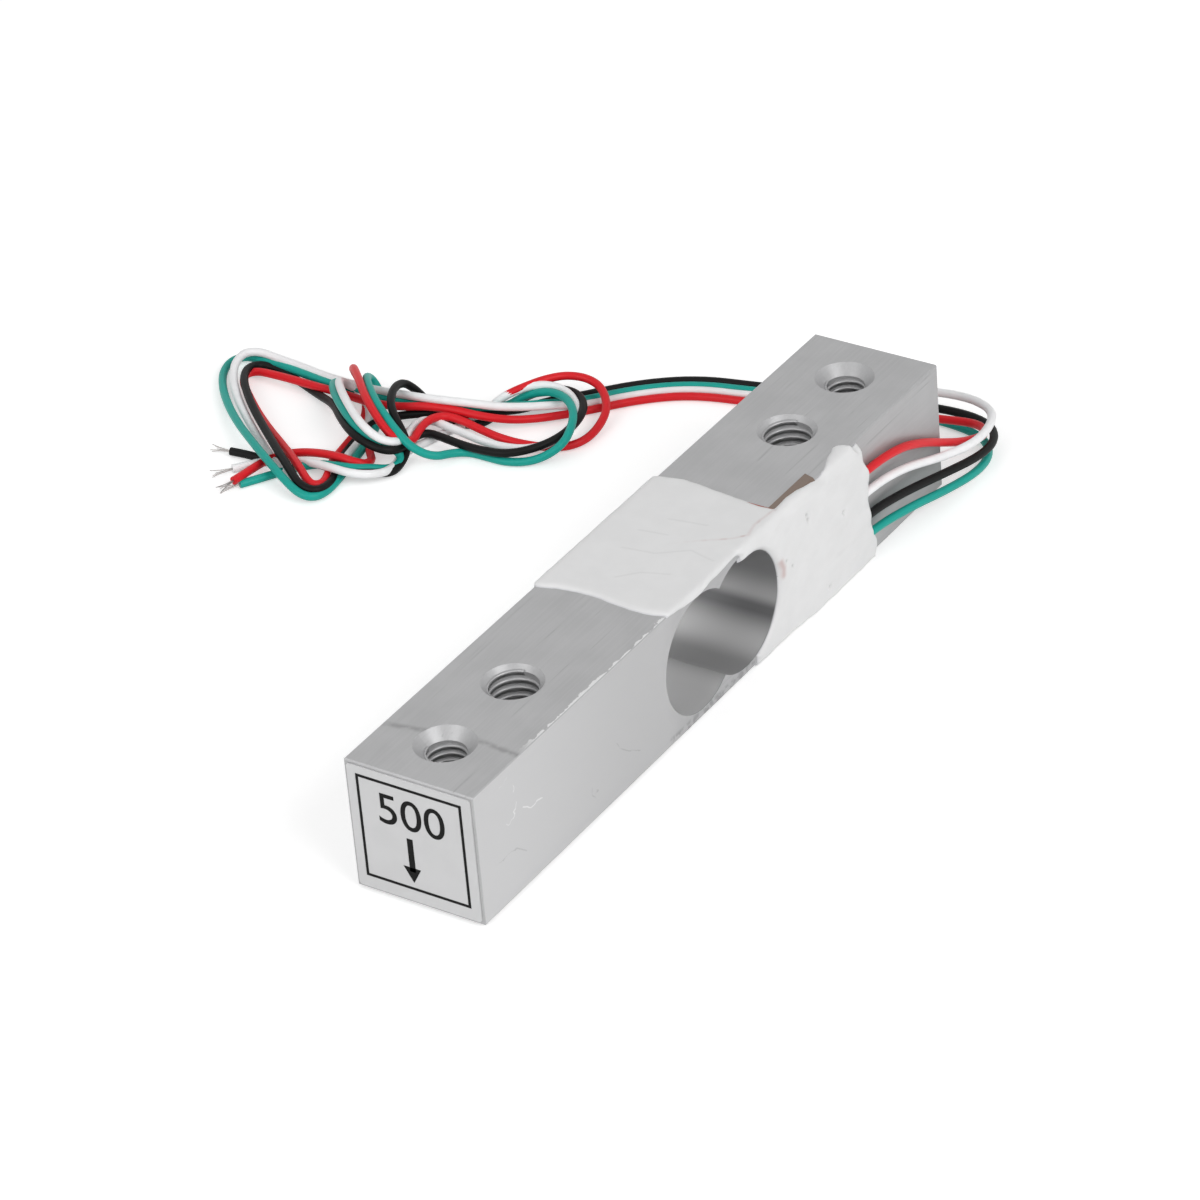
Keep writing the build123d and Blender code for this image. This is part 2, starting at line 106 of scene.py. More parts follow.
# Each wire's way through the tied hank: out along the top, round the left
# loop, up under the knot, over it, round the right loop and back out below.
# The heights are chosen to show which wire lies over which, and don't
# keep the wires clear: where they cross they can run into each other
RED_HANK = [
    (-31.6, 32.1, 0.6), (-33.1, 30.1, 0.9), (-34.9, 28.3, 1.3), (-37.3, 27.2, 1.7), (-40.1, 26.7, 2.0),
    (-42.5, 25.8, 2.2), (-44.7, 24.9, 2.0), (-48.1, 24.8, 1.6), (-52.1, 25.5, 1.3), (-55.1, 25.6, 1.2),
    (-58.1, 25.8, 1.1), (-60.7, 26.0, 0.9), (-62.3, 26.1, 0.7), (-63.1, 25.3, 0.6), (-62.5, 24.1, 0.5),
    (-60.7, 22.5, LYING), (-58.2, 20.4, LYING), (-55.5, 18.4, 0.5), (-52.3, 16.1, 0.9),
    (-49.3, 13.9, 1.3), (-47.4, 12.5, 1.3), (-46.1, 11.5, 1.2), (-45.2, 11.2, 1.0), (-44.7, 12.0, 0.8),
    (-45.3, 13.7, 0.6), (-46.5, 16.0, LYING), (-46.8, 17.8, LYING), (-47.2, 20.2, LYING),
    (-47.5, 22.3, 0.5), (-48.7, 24.9, 0.6), (-50.3, 27.0, 0.9), (-51.7, 28.2, 1.3), (-52.5, 28.4, 2.2),
    (-51.6, 27.4, 3.2), (-49.3, 25.0, 3.9), (-46.7, 22.3, 4.2), (-44.3, 20.4, 3.9), (-42.5, 19.4, 3.2),
    (-41.0, 19.2, 2.4), (-40.5, 20.9, 1.6), (-40.7, 22.0, 2.0), (-40.9, 24.0, 2.1), (-40.3, 25.8, 1.8),
    (-38.5, 26.2, 1.4), (-36.4, 26.0, 1.1), (-34.1, 25.7, 1.0), (-32.0, 26.1, 0.7),
    (-29.9, 26.9, LYING), (-28.1, 27.8, LYING), (-27.0, 29.4, 0.6), (-26.9, 31.7, 0.9),
    (-27.5, 34.1, 1.4), (-29.3, 36.1, 2.0), (-31.2, 36.5, 2.4), (-33.1, 35.8, 2.6), (-34.4, 34.2, 2.7),
    (-35.6, 32.5, 2.5), (-36.8, 31.3, 2.0), (-37.9, 30.8, 1.1), (-38.2, 29.5, 0.5),
    (-39.0, 28.1, LYING), (-40.4, 27.2, LYING), (-42.2, 26.8, LYING), (-43.1, 25.7, LYING),
    (-43.0, 24.0, LYING), (-43.0, 22.4, LYING), (-43.7, 21.7, LYING), (-44.9, 21.1, LYING),
    (-45.0, 20.0, LYING), (-44.1, 18.8, LYING), (-43.2, 17.9, 0.5), (-42.9, 16.5, 0.9),
    (-43.6, 15.7, 1.4), (-45.1, 15.6, 1.6), (-47.4, 15.9, 1.2), (-49.7, 16.1, 0.6),
    (-51.0, 15.5, LYING), (-51.7, 14.3, 0.5),
]
WHITE_HANK = [
    (-31.9, 32.4, 1.5), (-33.7, 30.4, 1.9), (-36.0, 28.7, 2.2), (-38.1, 27.8, 2.5), (-40.2, 26.8, 2.8),
    (-42.7, 26.2, 2.8), (-45.6, 26.3, 2.4), (-48.7, 26.6, 1.9), (-51.9, 27.0, 1.5), (-55.2, 27.4, 1.3),
    (-58.3, 28.0, 1.2), (-60.9, 28.1, 1.3), (-63.1, 28.2, 1.5), (-64.3, 27.3, 1.7), (-64.3, 25.6, 1.6),
    (-63.1, 23.4, 1.4), (-61.3, 21.4, 1.1), (-59.1, 19.4, 0.9), (-56.7, 17.5, 0.7), (-54.2, 15.7, 0.5),
    (-51.8, 14.0, LYING), (-49.1, 12.4, LYING), (-46.8, 11.2, LYING), (-45.4, 11.1, LYING),
    (-44.9, 12.1, LYING), (-45.1, 13.9, LYING), (-45.6, 16.2, LYING), (-46.0, 18.6, LYING),
    (-46.3, 20.9, 0.5), (-47.3, 23.4, 0.6), (-49.2, 25.7, 0.8), (-51.2, 26.7, 1.3), (-52.2, 26.2, 2.2),
    (-51.5, 24.7, 3.2), (-49.2, 22.1, 4.0), (-46.6, 19.8, 4.2), (-44.2, 18.1, 4.0), (-42.3, 17.6, 3.4),
    (-41.2, 18.2, 2.8), (-40.9, 19.8, 2.1), (-41.7, 22.1, 1.7), (-42.2, 24.2, 1.5), (-41.2, 25.1, 1.4),
    (-39.2, 24.8, 1.3), (-37.5, 24.7, 1.2), (-35.5, 24.4, 1.1), (-33.1, 24.7, 0.8), (-30.7, 25.3, 0.9),
    (-29.4, 26.8, 1.0), (-28.8, 28.9, 1.2), (-29.0, 31.0, 1.5), (-30.0, 32.7, 1.9), (-31.6, 33.7, 2.3),
    (-33.4, 33.8, 2.5), (-35.1, 33.0, 2.5), (-36.3, 31.8, 2.2), (-37.4, 30.8, 1.6), (-38.0, 29.7, 0.8),
    (-38.5, 28.1, LYING), (-39.3, 26.4, LYING), (-40.0, 24.4, LYING), (-40.5, 22.6, LYING),
    (-41.1, 21.2, LYING), (-41.2, 19.7, LYING), (-40.7, 18.1, 0.5), (-40.5, 16.3, 0.8),
    (-41.1, 14.6, 1.3), (-42.7, 13.6, 1.6), (-45.0, 13.8, 1.5), (-47.3, 14.4, 1.0), (-49.3, 14.7, 0.5),
    (-50.6, 14.0, LYING), (-51.6, 13.5, LYING),
]
BLACK_HANK = [
    (-34.0, 33.6, 0.7), (-35.2, 31.4, 0.7), (-36.9, 29.9, 0.8), (-38.8, 28.7, 0.9), (-40.7, 27.5, 1.1),
    (-42.5, 26.2, 1.2), (-44.4, 24.9, 1.2), (-46.0, 23.7, 1.0), (-46.9, 22.2, 0.6),
    (-46.6, 19.8, LYING), (-46.1, 17.3, LYING), (-45.3, 15.1, 0.5), (-44.3, 13.3, 0.7),
    (-44.0, 11.5, 0.9), (-44.4, 10.2, 1.1), (-46.0, 10.2, 1.4), (-47.9, 11.5, 1.7), (-50.6, 13.5, 1.8),
    (-53.8, 16.1, 1.6), (-57.0, 18.7, 1.5), (-59.8, 21.2, 1.5), (-62.0, 23.6, 1.4), (-63.1, 25.8, 1.1),
    (-62.6, 27.4, 0.7), (-60.7, 27.6, LYING), (-57.8, 26.7, LYING), (-54.7, 25.4, 0.5),
    (-51.3, 23.4, 1.4), (-48.0, 20.0, 2.6), (-45.3, 17.8, 3.0), (-43.0, 17.1, 2.7), (-41.2, 17.5, 2.2),
    (-40.6, 19.1, 1.7), (-41.1, 21.6, 1.4), (-40.6, 23.2, 1.3), (-38.5, 23.0, 1.3), (-36.3, 22.7, 1.3),
    (-34.2, 22.7, 1.3), (-31.8, 23.1, 1.3), (-29.9, 24.5, 1.5), (-28.6, 26.5, 1.7), (-28.2, 29.0, 1.8),
    (-28.7, 32.0, 1.9), (-30.3, 34.0, 1.9), (-32.1, 34.7, 1.8), (-33.8, 34.7, 1.5), (-35.4, 34.2, 1.0),
    (-36.7, 33.1, 0.5), (-37.3, 30.9, LYING), (-37.3, 28.7, LYING), (-38.0, 27.2, LYING),
    (-39.9, 26.9, LYING), (-42.6, 27.9, 0.5), (-44.6, 28.6, 1.0), (-45.1, 28.0, 2.2),
    (-45.8, 27.2, 3.2), (-45.4, 25.1, 3.8), (-44.2, 22.8, 3.8), (-42.7, 21.3, 3.4), (-41.3, 20.5, 2.6),
    (-40.7, 20.2, 1.4), (-40.4, 19.0, 0.6), (-40.2, 16.9, LYING), (-41.4, 15.7, 0.8),
    (-43.2, 14.6, 0.9), (-45.4, 14.5, 0.9), (-48.0, 15.0, 0.5), (-49.9, 14.4, LYING),
    (-51.7, 13.9, LYING),
]
GREEN_HANK = [
    (-33.0, 32.6, 1.3), (-34.8, 31.1, 1.4), (-36.7, 29.7, 1.5), (-38.6, 28.4, 1.7), (-40.6, 27.2, 1.9),
    (-43.0, 26.5, 1.9), (-45.6, 26.2, 1.7), (-48.6, 26.3, 1.4), (-51.6, 26.5, 1.2), (-54.7, 26.8, 1.1),
    (-57.8, 27.3, 1.0), (-60.7, 27.8, 0.9), (-63.1, 28.0, 0.7), (-65.0, 28.1, 0.6), (-65.9, 27.0, 0.5),
    (-65.5, 25.0, 0.5), (-63.8, 22.5, 0.6), (-60.9, 19.5, 0.9), (-57.5, 16.6, 1.3), (-53.8, 13.9, 1.7),
    (-50.6, 11.8, 1.8), (-47.7, 10.2, 1.5), (-45.6, 9.4, 1.0), (-44.2, 9.7, 0.7), (-43.8, 11.4, 0.5),
    (-44.2, 14.0, LYING), (-44.7, 16.7, LYING), (-45.2, 19.2, LYING), (-45.8, 21.7, 0.5),
    (-46.8, 24.6, 0.6), (-48.4, 27.1, 1.0), (-49.7, 27.9, 1.9), (-49.9, 27.0, 3.0), (-48.0, 24.6, 3.9),
    (-45.3, 22.0, 4.1), (-43.1, 20.6, 3.6), (-41.1, 19.6, 2.9), (-39.3, 19.2, 2.0), (-37.6, 19.9, 1.2),
    (-36.8, 21.8, 0.8), (-35.7, 23.0, 0.5), (-33.9, 23.1, LYING), (-31.8, 23.1, LYING),
    (-29.9, 23.9, 0.5), (-28.4, 24.9, 1.0), (-27.3, 26.2, 1.9), (-27.5, 27.9, 2.5), (-28.6, 30.2, 2.8),
    (-30.4, 31.9, 2.8), (-32.5, 32.7, 2.6), (-34.4, 32.8, 2.0), (-36.1, 32.5, 1.2), (-37.1, 31.5, 0.5),
    (-38.5, 30.7, LYING), (-40.7, 30.1, LYING), (-43.1, 29.5, LYING), (-45.6, 28.9, LYING),
    (-48.3, 28.7, LYING), (-50.9, 28.6, LYING), (-52.6, 28.1, 0.7), (-53.2, 27.1, 1.4),
    (-52.7, 25.3, 2.3), (-50.9, 23.1, 3.0), (-48.7, 21.0, 3.4), (-46.4, 19.2, 3.5), (-44.3, 18.1, 3.2),
    (-42.6, 17.9, 2.7), (-41.5, 18.4, 2.0), (-41.0, 19.1, 1.3), (-40.5, 18.8, 0.8), (-40.4, 17.9, 0.6),
    (-41.1, 17.1, 0.5), (-42.2, 16.3, 0.8), (-43.0, 15.1, 1.2), (-44.7, 14.7, 1.2), (-46.9, 14.8, 0.8),
    (-48.5, 14.2, LYING), (-49.3, 13.1, LYING),
]
RED_TAIL = [(-52.0, 13.1, 0.7), (-52.0, 10.6, 1.0), (-52.2, 8.4, 1.1)]
WHITE_TAIL = [(-52.5, 13.1, LYING), (-53.3, 12.0, LYING), (-54.2, 10.9, LYING)]
BLACK_TAIL = [(-53.4, 13.6, LYING), (-54.7, 13.6, LYING), (-56.2, 13.4, LYING)]
GREEN_TAIL = [(-50.0, 12.1, LYING), (-51.0, 10.5, LYING), (-52.0, 9.0, LYING)]

# Marks on the metal: strokes on the side face as (y, z), grooves on the top as (x, y)
BRIGHT_SCRATCHES = (
    ((-32.8, 12.1), (-33.7, 11.6)),
    ((-32.0, 10.8), (-32.0, 10.2)),
    ((-31.7, 9.0), (-32.2, 8.0), (-33.2, 7.7)),
    ((-30.9, 8.0), (-29.9, 7.3), (-28.2, 7.2)),
)
DARK_SCRATCHES = (
    ((-21.1, 3.7), (-21.1, 2.9), (-20.7, 2.5), (-20.3, 3.0)),
    ((-17.1, 5.9), (-16.5, 4.8), (-15.4, 3.9), (-13.7, 2.9)),
    ((-35.2, 4.8), (-34.0, 4.9), (-32.3, 4.8), (-31.0, 3.7)),
)
TOP_GROOVES = (
    ((-6.3, -31.9), (-3.1, -31.3), (-1.8, -31.0)),
    ((1.8, -30.4), (4.2, -30.6), (6.6, -30.8)),
)


class Signal:
    """One value in a material's node tree that takes part in sums."""

    def __init__(self, painter: "Painter", socket: bpy.types.NodeSocket) -> None:
        """Wraps a socket.

        Args:
            painter: The tree's builder.
            socket: The output that carries the value.
        """
        self.painter = painter
        self.socket = socket

    def __add__(self, other: "Signal | float") -> "Signal":
        """Sum of two values."""
        return self.painter.maths("ADD", self, other)

    def __radd__(self, other: float) -> "Signal":
        """Sum of a number and a value."""
        return self.painter.maths("ADD", other, self)

    def __sub__(self, other: "Signal | float") -> "Signal":
        """Difference of two values."""
        return self.painter.maths("SUBTRACT", self, other)

    def __rsub__(self, other: float) -> "Signal":
        """A number less a value."""
        return self.painter.maths("SUBTRACT", other, self)

    def __mul__(self, other: "Signal | float") -> "Signal":
        """Product of two values."""
        return self.painter.maths("MULTIPLY", self, other)

    def __rmul__(self, other: float) -> "Signal":
        """Product of a number and a value."""
        return self.painter.maths("MULTIPLY", other, self)

    def size(self) -> "Signal":
        """The value without its sign."""
        return self.painter.maths("ABSOLUTE", self)

    def eased(self, low: float, high: float) -> "Signal":
        """Rises smoothly from 0 at low to 1 at high.

        Args:
            low: Value at which the result leaves 0.
            high: Value at which the result reaches 1, which may be less than low.

        Returns:
            The eased value.
        """
        settings = {"interpolation_type": "SMOOTHSTEP"}
        inputs = {"Value": self, "From Min": low, "From Max": high}
        if high < low:
            inputs = {"Value": self, "From Min": high, "From Max": low, "To Min": 1.0, "To Max": 0.0}
        node = self.painter.node("ShaderNodeMapRange", settings, inputs)
        return Signal(self.painter, node.outputs[0])


class Painter:
    """Builds one material's node tree round a Principled shader."""

    def __init__(self, name: str) -> None:
        """Starts an empty tree.

        Args:
            name: The material's name.
        """
        self.material = bpy.data.materials.new(name)
        self.material.use_nodes = True
        self.tree = self.material.node_tree
        self.tree.nodes.clear()
        self.shader = self.node("ShaderNodeBsdfPrincipled")
        self.output = self.node("ShaderNodeOutputMaterial", inputs={"Surface": self.shader.outputs[0]})

    def node(
        self,
        kind: str,
        settings: dict[str, object] | None = None,
        inputs: dict[str | int, object] | None = None,
    ) -> bpy.types.Node:
        """Adds a node.

        Args:
            kind: The node's type.
            settings: Its own properties, set first.
            inputs: Values or links of its sockets, by name or index.

        Returns:
            The new node.
        """
        made = self.tree.nodes.new(kind)
        for name, value in (settings or {}).items():
            setattr(made, name, value)
        for key, value in (inputs or {}).items():
            self.feed(made.inputs[key], value)
        return made

    def feed(self, socket: bpy.types.NodeSocket, value: object) -> None:
        """Sets or links one input.

        Args:
            socket: The input.
            value: A signal, a socket, a number, or a colour or vector.
        """
        if isinstance(value, Signal):
            self.tree.links.new(value.socket, socket)
        elif isinstance(value, bpy.types.NodeSocket):
            self.tree.links.new(value, socket)
        elif isinstance(value, tuple) and socket.type == "RGBA":
            socket.default_value = (*value[:3], 1.0)
        else:
            socket.default_value = value

    def maths(self, operation: str, *values: "Signal | float") -> Signal:
        """One Math node on signals and numbers."""
        node = self.node("ShaderNodeMath", {"operation": operation}, dict(enumerate(values)))
        return Signal(self, node.outputs[0])

    def place(self) -> bpy.types.NodeSocket:
        """Object coordinates, in metres."""
        return self.node("ShaderNodeTexCoord").outputs["Object"]

    def turned(self, vector: bpy.types.NodeSocket, turn: Point, stretch: Point) -> bpy.types.NodeSocket:
        """Coordinates turned and stretched by a Mapping node.

        Args:
            vector: Coordinates to change.
            turn: Rotation in radians.
            stretch: Scale along each axis.

        Returns:
            The changed coordinates.
        """
        inputs = {"Vector": vector, "Rotation": turn, "Scale": stretch}
        return self.node("ShaderNodeMapping", inputs=inputs).outputs[0]

    def split(self, vector: bpy.types.NodeSocket) -> tuple[Signal, Signal, Signal]:
        """The three parts of a vector."""
        node = self.node("ShaderNodeSeparateXYZ", inputs={0: vector})
        return tuple(Signal(self, out) for out in node.outputs)

    def noise(self, vector: bpy.types.NodeSocket, per_metre: float, detail: float = 3.0) -> Signal:
        """Cloudy noise about 0.5.

        Args:
            vector: Coordinates in metres.
            per_metre: Clouds in a metre.
            detail: How many finer layers it has.

        Returns:
            The noise value.
        """
        inputs = {"Vector": vector, "Scale": per_metre, "Detail": detail}
        return Signal(self, self.node("ShaderNodeTexNoise", inputs=inputs).outputs[0])

    def attribute(self, name: str) -> Signal:
        """A number stored on the mesh's points."""
        node = self.node("ShaderNodeAttribute", {"attribute_name": name})
        return Signal(self, node.outputs["Fac"])

    def stroke(self, a: Signal, b: Signal, line: Sequence[Pair], width: float) -> Signal:
        """A soft line through a few places.

        Args:
            a: First coordinate.
            b: Second coordinate.
            line: Places it runs through.
            width: Distance at which it has faded.

        Returns:
            1 on the line and 0 beyond its width.
        """
        shown = None
        for (a0, b0), (a1, b1) in zip(line, line[1:]):
            run_a, run_b = a1 - a0, b1 - b0
            reach = run_a ** 2 + run_b ** 2
            share = (a - a0) * (run_a / reach) + (b - b0) * (run_b / reach)
            share = self.maths("MINIMUM", self.maths("MAXIMUM", share, 0.0), 1.0)
            off_a = a - a0 - share * run_a
            off_b = b - b0 - share * run_b
            off = self.maths("SQRT", off_a * off_a + off_b * off_b)
            part = off.eased(width, 0.0)
            shown = part if shown is None else self.maths("MAXIMUM", shown, part)
        return shown

    def blend(self, share: Signal, first: object, second: object) -> bpy.types.NodeSocket:
        """Colour that goes from first to second as share goes from 0 to 1."""
        inputs = {0: share, 6: first, 7: second}
        return self.node("ShaderNodeMix", {"data_type": "RGBA"}, inputs).outputs[2]

    def relief(self, height: Signal, depth: float, strength: float = 1.0) -> bpy.types.NodeSocket:
        """Surface normal from a height field.

        Args:
            height: Height, about 0 to 1.
            depth: What a height of 1 stands for, in metres.
            strength: Share of the effect.

        Returns:
            The bumped normal.
        """
        inputs = {"Height": height, "Distance": depth, "Strength": strength}
        return self.node("ShaderNodeBump", inputs=inputs).outputs[0]

    def finish(self, **inputs: object) -> bpy.types.Material:
        """Feeds the shader's sockets and gives back the material.

        Args:
            **inputs: Socket names with _ for a space, and their values.

        Returns:
            The finished material.
        """
        for name, value in inputs.items():
            self.feed(self.shader.inputs[name.replace("_", " ")], value)
        return self.material


@dataclass(frozen=True)
class MilledAluminium:
    """Bare bar stock: brushing, a painted pale sheen on the side face, scratches and a stained groove."""

    tone: Colour = (0.395, 0.395, 0.40)
    # Painted pale sheen of the side face's front part
    painted_side_sheen_tone: Colour = (0.55, 0.55, 0.555)
    # Painted shade and painted highlight of the reflection bands inside the bore
    bore_painted_shade: Colour = (0.18, 0.18, 0.185)
    bore_painted_highlight: Colour = (0.92, 0.92, 0.92)
    groove_tone: Colour = (0.20, 0.20, 0.20)
    burr_tone: Colour = (0.80, 0.80, 0.805)
    bright_tone: Colour = (0.92, 0.92, 0.92)
    dark_tone: Colour = (0.16, 0.16, 0.165)
    groove_width: float = 0.55
    bright_width: float = 0.10
    dark_width: float = 0.09
    bright_scratches: tuple[tuple[Pair, ...], ...] = BRIGHT_SCRATCHES
    dark_scratches: tuple[tuple[Pair, ...], ...] = DARK_SCRATCHES
    grooves: tuple[tuple[Pair, ...], ...] = TOP_GROOVES

    def _marks(
        self,
        p: Painter,
        a: Signal,
        b: Signal,
        lines: Sequence[Sequence[Pair]],
        width: float,
    ) -> Signal:
        """All the strokes of one kind.

        Args:
            p: Builder of the tree.
            a: First coordinate.
            b: Second coordinate.
            lines: The strokes.
            width: Their width.

        Returns:
            1 on a stroke and 0 off them.
        """
        shown = p.stroke(a, b, lines[0], width)
        for line in lines[1:]:
            shown = p.maths("MAXIMUM", shown, p.stroke(a, b, line, width))
        return shown

    def _bore_painted_bands(self, p: Painter, x: Signal, y: Signal, z: Signal) -> tuple[Signal, Signal]:
        """Where the bore's wall is, and its bands of painted reflection and painted shade.

        Args:
            p: Builder of the tree.
            x: Place across the bar, in millimetres.
            y: Place along it.
            z: Height.

        Returns:
            The wall's mask and its bands, 0 for painted shade and 1 for painted highlight.
        """
        across = x.size().eased(6.34, 6.25)
        along = y.size().eased(9.2, 9.1)
        upright = z.eased(0.5, 0.7) * z.eased(12.95, 12.8)
        # Painted reflection bands: dark at the top, lighter across the middle, a dark band under that and
        # lightest at the bottom, with painted shade low in the rear lobe
        upper = z.eased(7.6, 4.8) * 0.3 + 0.14
        lower = z.eased(3.7, 1.7) * 0.7 - z.eased(4.9, 3.8) * 0.46
        foot = y.eased(6.0, 3.6) * y.eased(-1.4, 1.6) * z.eased(6.0, 4.0) * 0.4
        return across * along * upright, upper + lower - foot

    def build(self) -> bpy.types.Material:
        """Makes the material.

        Returns:
            The finished material.
        """
        p = Painter("milled_aluminium")
        place = p.place()
        x, y, z = (part * 1000.0 for part in p.split(place))
        clouds = p.noise(place, 260.0, 4.0)
        wander = p.noise(place, 1100.0, 5.0)
        brushing = p.noise(p.turned(place, (0.0, 0.0, -0.35), (1.0, 0.03, 1.0)), 5200.0, 3.0)
        scratch_line = p.noise(p.turned(place, (0.0, 0.0, 0.6), (1.0, 0.02, 1.0)), 3400.0, 2.0)
        scratches = scratch_line.eased(0.62, 0.74) * clouds.eased(0.45, 0.62)
        side = x.eased(6.30, 6.34)
        top = z.eased(12.97, 12.99)
        # Front part of the side face: painted lighter as a sheen, and also less metallic and rougher
        film = side * (y + wander * 1.5).eased(-4.0, -9.0)
        burr = top * (x + wander * 1.3).eased(6.72, 6.80)
        burr = burr * (y - wander * 2.0).eased(-8.5, -10.0) * y.eased(-31.0, -27.0)
        across, along = x + wander * 0.5 - 0.25, y + wander * 0.3 - 0.15
        groove = self._marks(p, across, along, self.grooves, self.groove_width) * top
        shake = (wander - 0.5) * 1.2
        bright = self._marks(p, y + shake, z - shake, self.bright_scratches, self.bright_width)
        bright = bright * side * clouds.eased(0.3, 0.6)
        dark = self._marks(p, y - shake, z + shake, self.dark_scratches, self.dark_width)
        dark = dark * side * wander.eased(0.3, 0.6)
        rough_foot = side * z.eased(1.35, 0.9) * y.size().eased(9.4, 8.6) * wander.eased(0.44, 0.56)
        bore, bands = self._bore_painted_bands(p, x, y, z)
        darker, lighter = (tuple(v * share for v in self.tone) for share in (0.96, 1.04))
        mottled = p.blend(clouds.eased(0.3, 0.7), darker, lighter)
        scored = p.blend(scratches * 0.55, mottled, tuple(v * 0.7 for v in self.tone))
        scored = p.blend(brushing.eased(0.35, 0.7) * 0.11, scored, tuple(v * 1.5 for v in self.tone))
        # Painted sheen, lightest towards the front end of the side face
        painted_side_sheen = p.blend(y.eased(-36.0, -10.0), self.painted_side_sheen_tone, tuple(v * 0.86 for v in self.painted_side_sheen_tone))
        base = p.blend(film, scored, painted_side_sheen)
        # Inside the bore the metal's colour gives way to the painted reflection and shade bands
        base = p.blend(bore, base, p.blend(bands, self.bore_painted_shade, self.bore_painted_highlight))
        base = p.blend(groove * wander.eased(0.25, 0.6) * 0.6, base, self.groove_tone)
        base = p.blend(burr * 0.75, base, self.burr_tone)
        base = p.blend(bright * 0.5, base, self.bright_tone)
        base = p.blend(p.maths("MAXIMUM", dark * 0.35, rough_foot * 0.5), base, self.dark_tone)
        height = brushing * 0.5 + wander * 0.25 - scratches * 0.6 - groove * 0.8 - rough_foot
        return p.finish(
            Base_Color=base,
            Metallic=0.4 - film * 0.25,
            Roughness=0.36 + brushing * 0.1 + film * 0.1,
            Normal=p.relief(height, 0.000012, 0.6),
        )


@dataclass(frozen=True)
class Silicone:
    """White silicone, thin and greyer at its borders, with a stain or two."""

    tone: Colour = (0.765, 0.765, 0.767)
    thin_tone: Colour = (0.60, 0.60, 0.62)
    stain_tone: Colour = (0.42, 0.20, 0.18)
    grey_mark_tone: Colour = (0.22, 0.22, 0.21)

    def build(self) -> bpy.types.Material:
        """Makes the material, which reads the skin's thickness and stain.

        Returns:
            The finished material.
        """
        p = Painter("silicone_coat")
        place = p.place()
        lumps = p.noise(place, 420.0, 3.0)
        fine = p.noise(place, 2600.0, 3.0)
        body = p.blend(lumps.eased(0.35, 0.7), tuple(v * 0.97 for v in self.tone), self.tone)
        edge = p.attribute("thickness").eased(0.02, 0.12)
        shown = p.blend(edge, self.thin_tone, body)
        stained = p.blend(p.attribute("stain"), shown, self.stain_tone)
        # Greyer in the pits and along faint brush lines
        marked = p.blend(p.attribute("grey_marks"), stained, self.grey_mark_tone)
        return p.finish(
            Base_Color=marked,
            Roughness=0.34 + lumps * 0.12,
            Normal=p.relief(lumps * 0.9 + fine * 0.1, 0.00003, 0.5),
        )


@dataclass(frozen=True)
class Insulation:
    """Soft extruded insulation of one wire."""

    name: str
    tone: Colour
    roughness: float = 0.36
    specular: float = 0.25

    def build(self) -> bpy.types.Material:
        """Makes the material.

        Returns:
            The finished material.
        """
        p = Painter(self.name)
        place = p.place()
        mottle = p.noise(place, 900.0, 3.0)
        fine = p.noise(place, 6000.0, 2.0)
        darker = tuple(v * 0.96 for v in self.tone)
        return p.finish(
            Base_Color=p.blend(mottle.eased(0.3, 0.7), darker, self.tone),
            Roughness=self.roughness + mottle * 0.12,
            Specular_IOR_Level=self.specular,
            Normal=p.relief(mottle * 0.6 + fine * 0.4, 0.000012, 0.6),
        )


@dataclass(frozen=True)
class PlainFinish:
    """A small piece's finish: film, foil, copper, solder, enamel or ink."""

    name: str
    tone: Colour
    metallic: float = 0.0
    roughness: float = 0.4
    grain: float = 1800.0
    depth: float = 0.00001
    specular: float = 0.5

    def build(self) -> bpy.types.Material:
        """Makes the material.

        Returns:
            The finished material.
        """
        p = Painter(self.name)
        cloud = p.noise(p.place(), self.grain, 3.0)
        lighter = tuple(min(v * 1.04, 0.95) for v in self.tone)
        return p.finish(
            Base_Color=p.blend(cloud.eased(0.3, 0.7), self.tone, lighter),
            Metallic=self.metallic,
            Specular_IOR_Level=self.specular,
            Roughness=self.roughness + (cloud - 0.5) * 0.16,
            Normal=p.relief(cloud, self.depth, 0.5),
        )


@dataclass(frozen=True)
class Finishes:
    """Every finish of the part, by the record's slot name."""

    white_tone: Colour = (0.94, 0.94, 0.95)

    def build(self) -> dict[str, bpy.types.Material]:
        """Makes all the materials.

        Returns:
            Materials by slot name.
        """
        recipes = {
            "milled_aluminium": MilledAluminium(),
            "silicone_coat": Silicone(),
            "label_film": PlainFinish("label_film", (0.60, 0.60, 0.605), 0.0, 0.45, 300.0, 0.000004),
            "label_ink": PlainFinish("label_ink", (0.006, 0.006, 0.006), 0.0, 0.6, specular=0.1),
            "gauge_film": PlainFinish("gauge_film", (0.42, 0.17, 0.03), 0.0, 0.3),
            "gauge_foil": PlainFinish("gauge_foil", (0.50, 0.45, 0.38), 1.0, 0.35),
            "flex_film": PlainFinish("flex_film", (0.17, 0.12, 0.09), 0.0, 0.35),
            "copper": PlainFinish("copper", (0.75, 0.36, 0.20), 1.0, 0.35),
            "solder": PlainFinish("solder", (0.62, 0.62, 0.63), 1.0, 0.3),
            "enamelled_wire": PlainFinish("enamelled_wire", (0.30, 0.05, 0.02), 0.2, 0.3),
            "tinned_copper": PlainFinish("tinned_copper", (0.42, 0.40, 0.39), 1.0, 0.35),
            "red_insulation": Insulation("red_insulation", (0.72, 0.012, 0.02)),
            "white_insulation": Insulation("white_insulation", self.white_tone),
            "black_insulation": Insulation("black_insulation", (0.004, 0.004, 0.004), 0.42, 0.15),
            "green_insulation": Insulation("green_insulation", (0.008, 0.36, 0.30)),
        }
        return {slot: recipe.build() for slot, recipe in recipes.items()}


class InputKind(Enum):
    """Kinds of named input that a piece's node tree may have."""

    LENGTH = "NodeSocketFloat"
    COUNT = "NodeSocketInt"


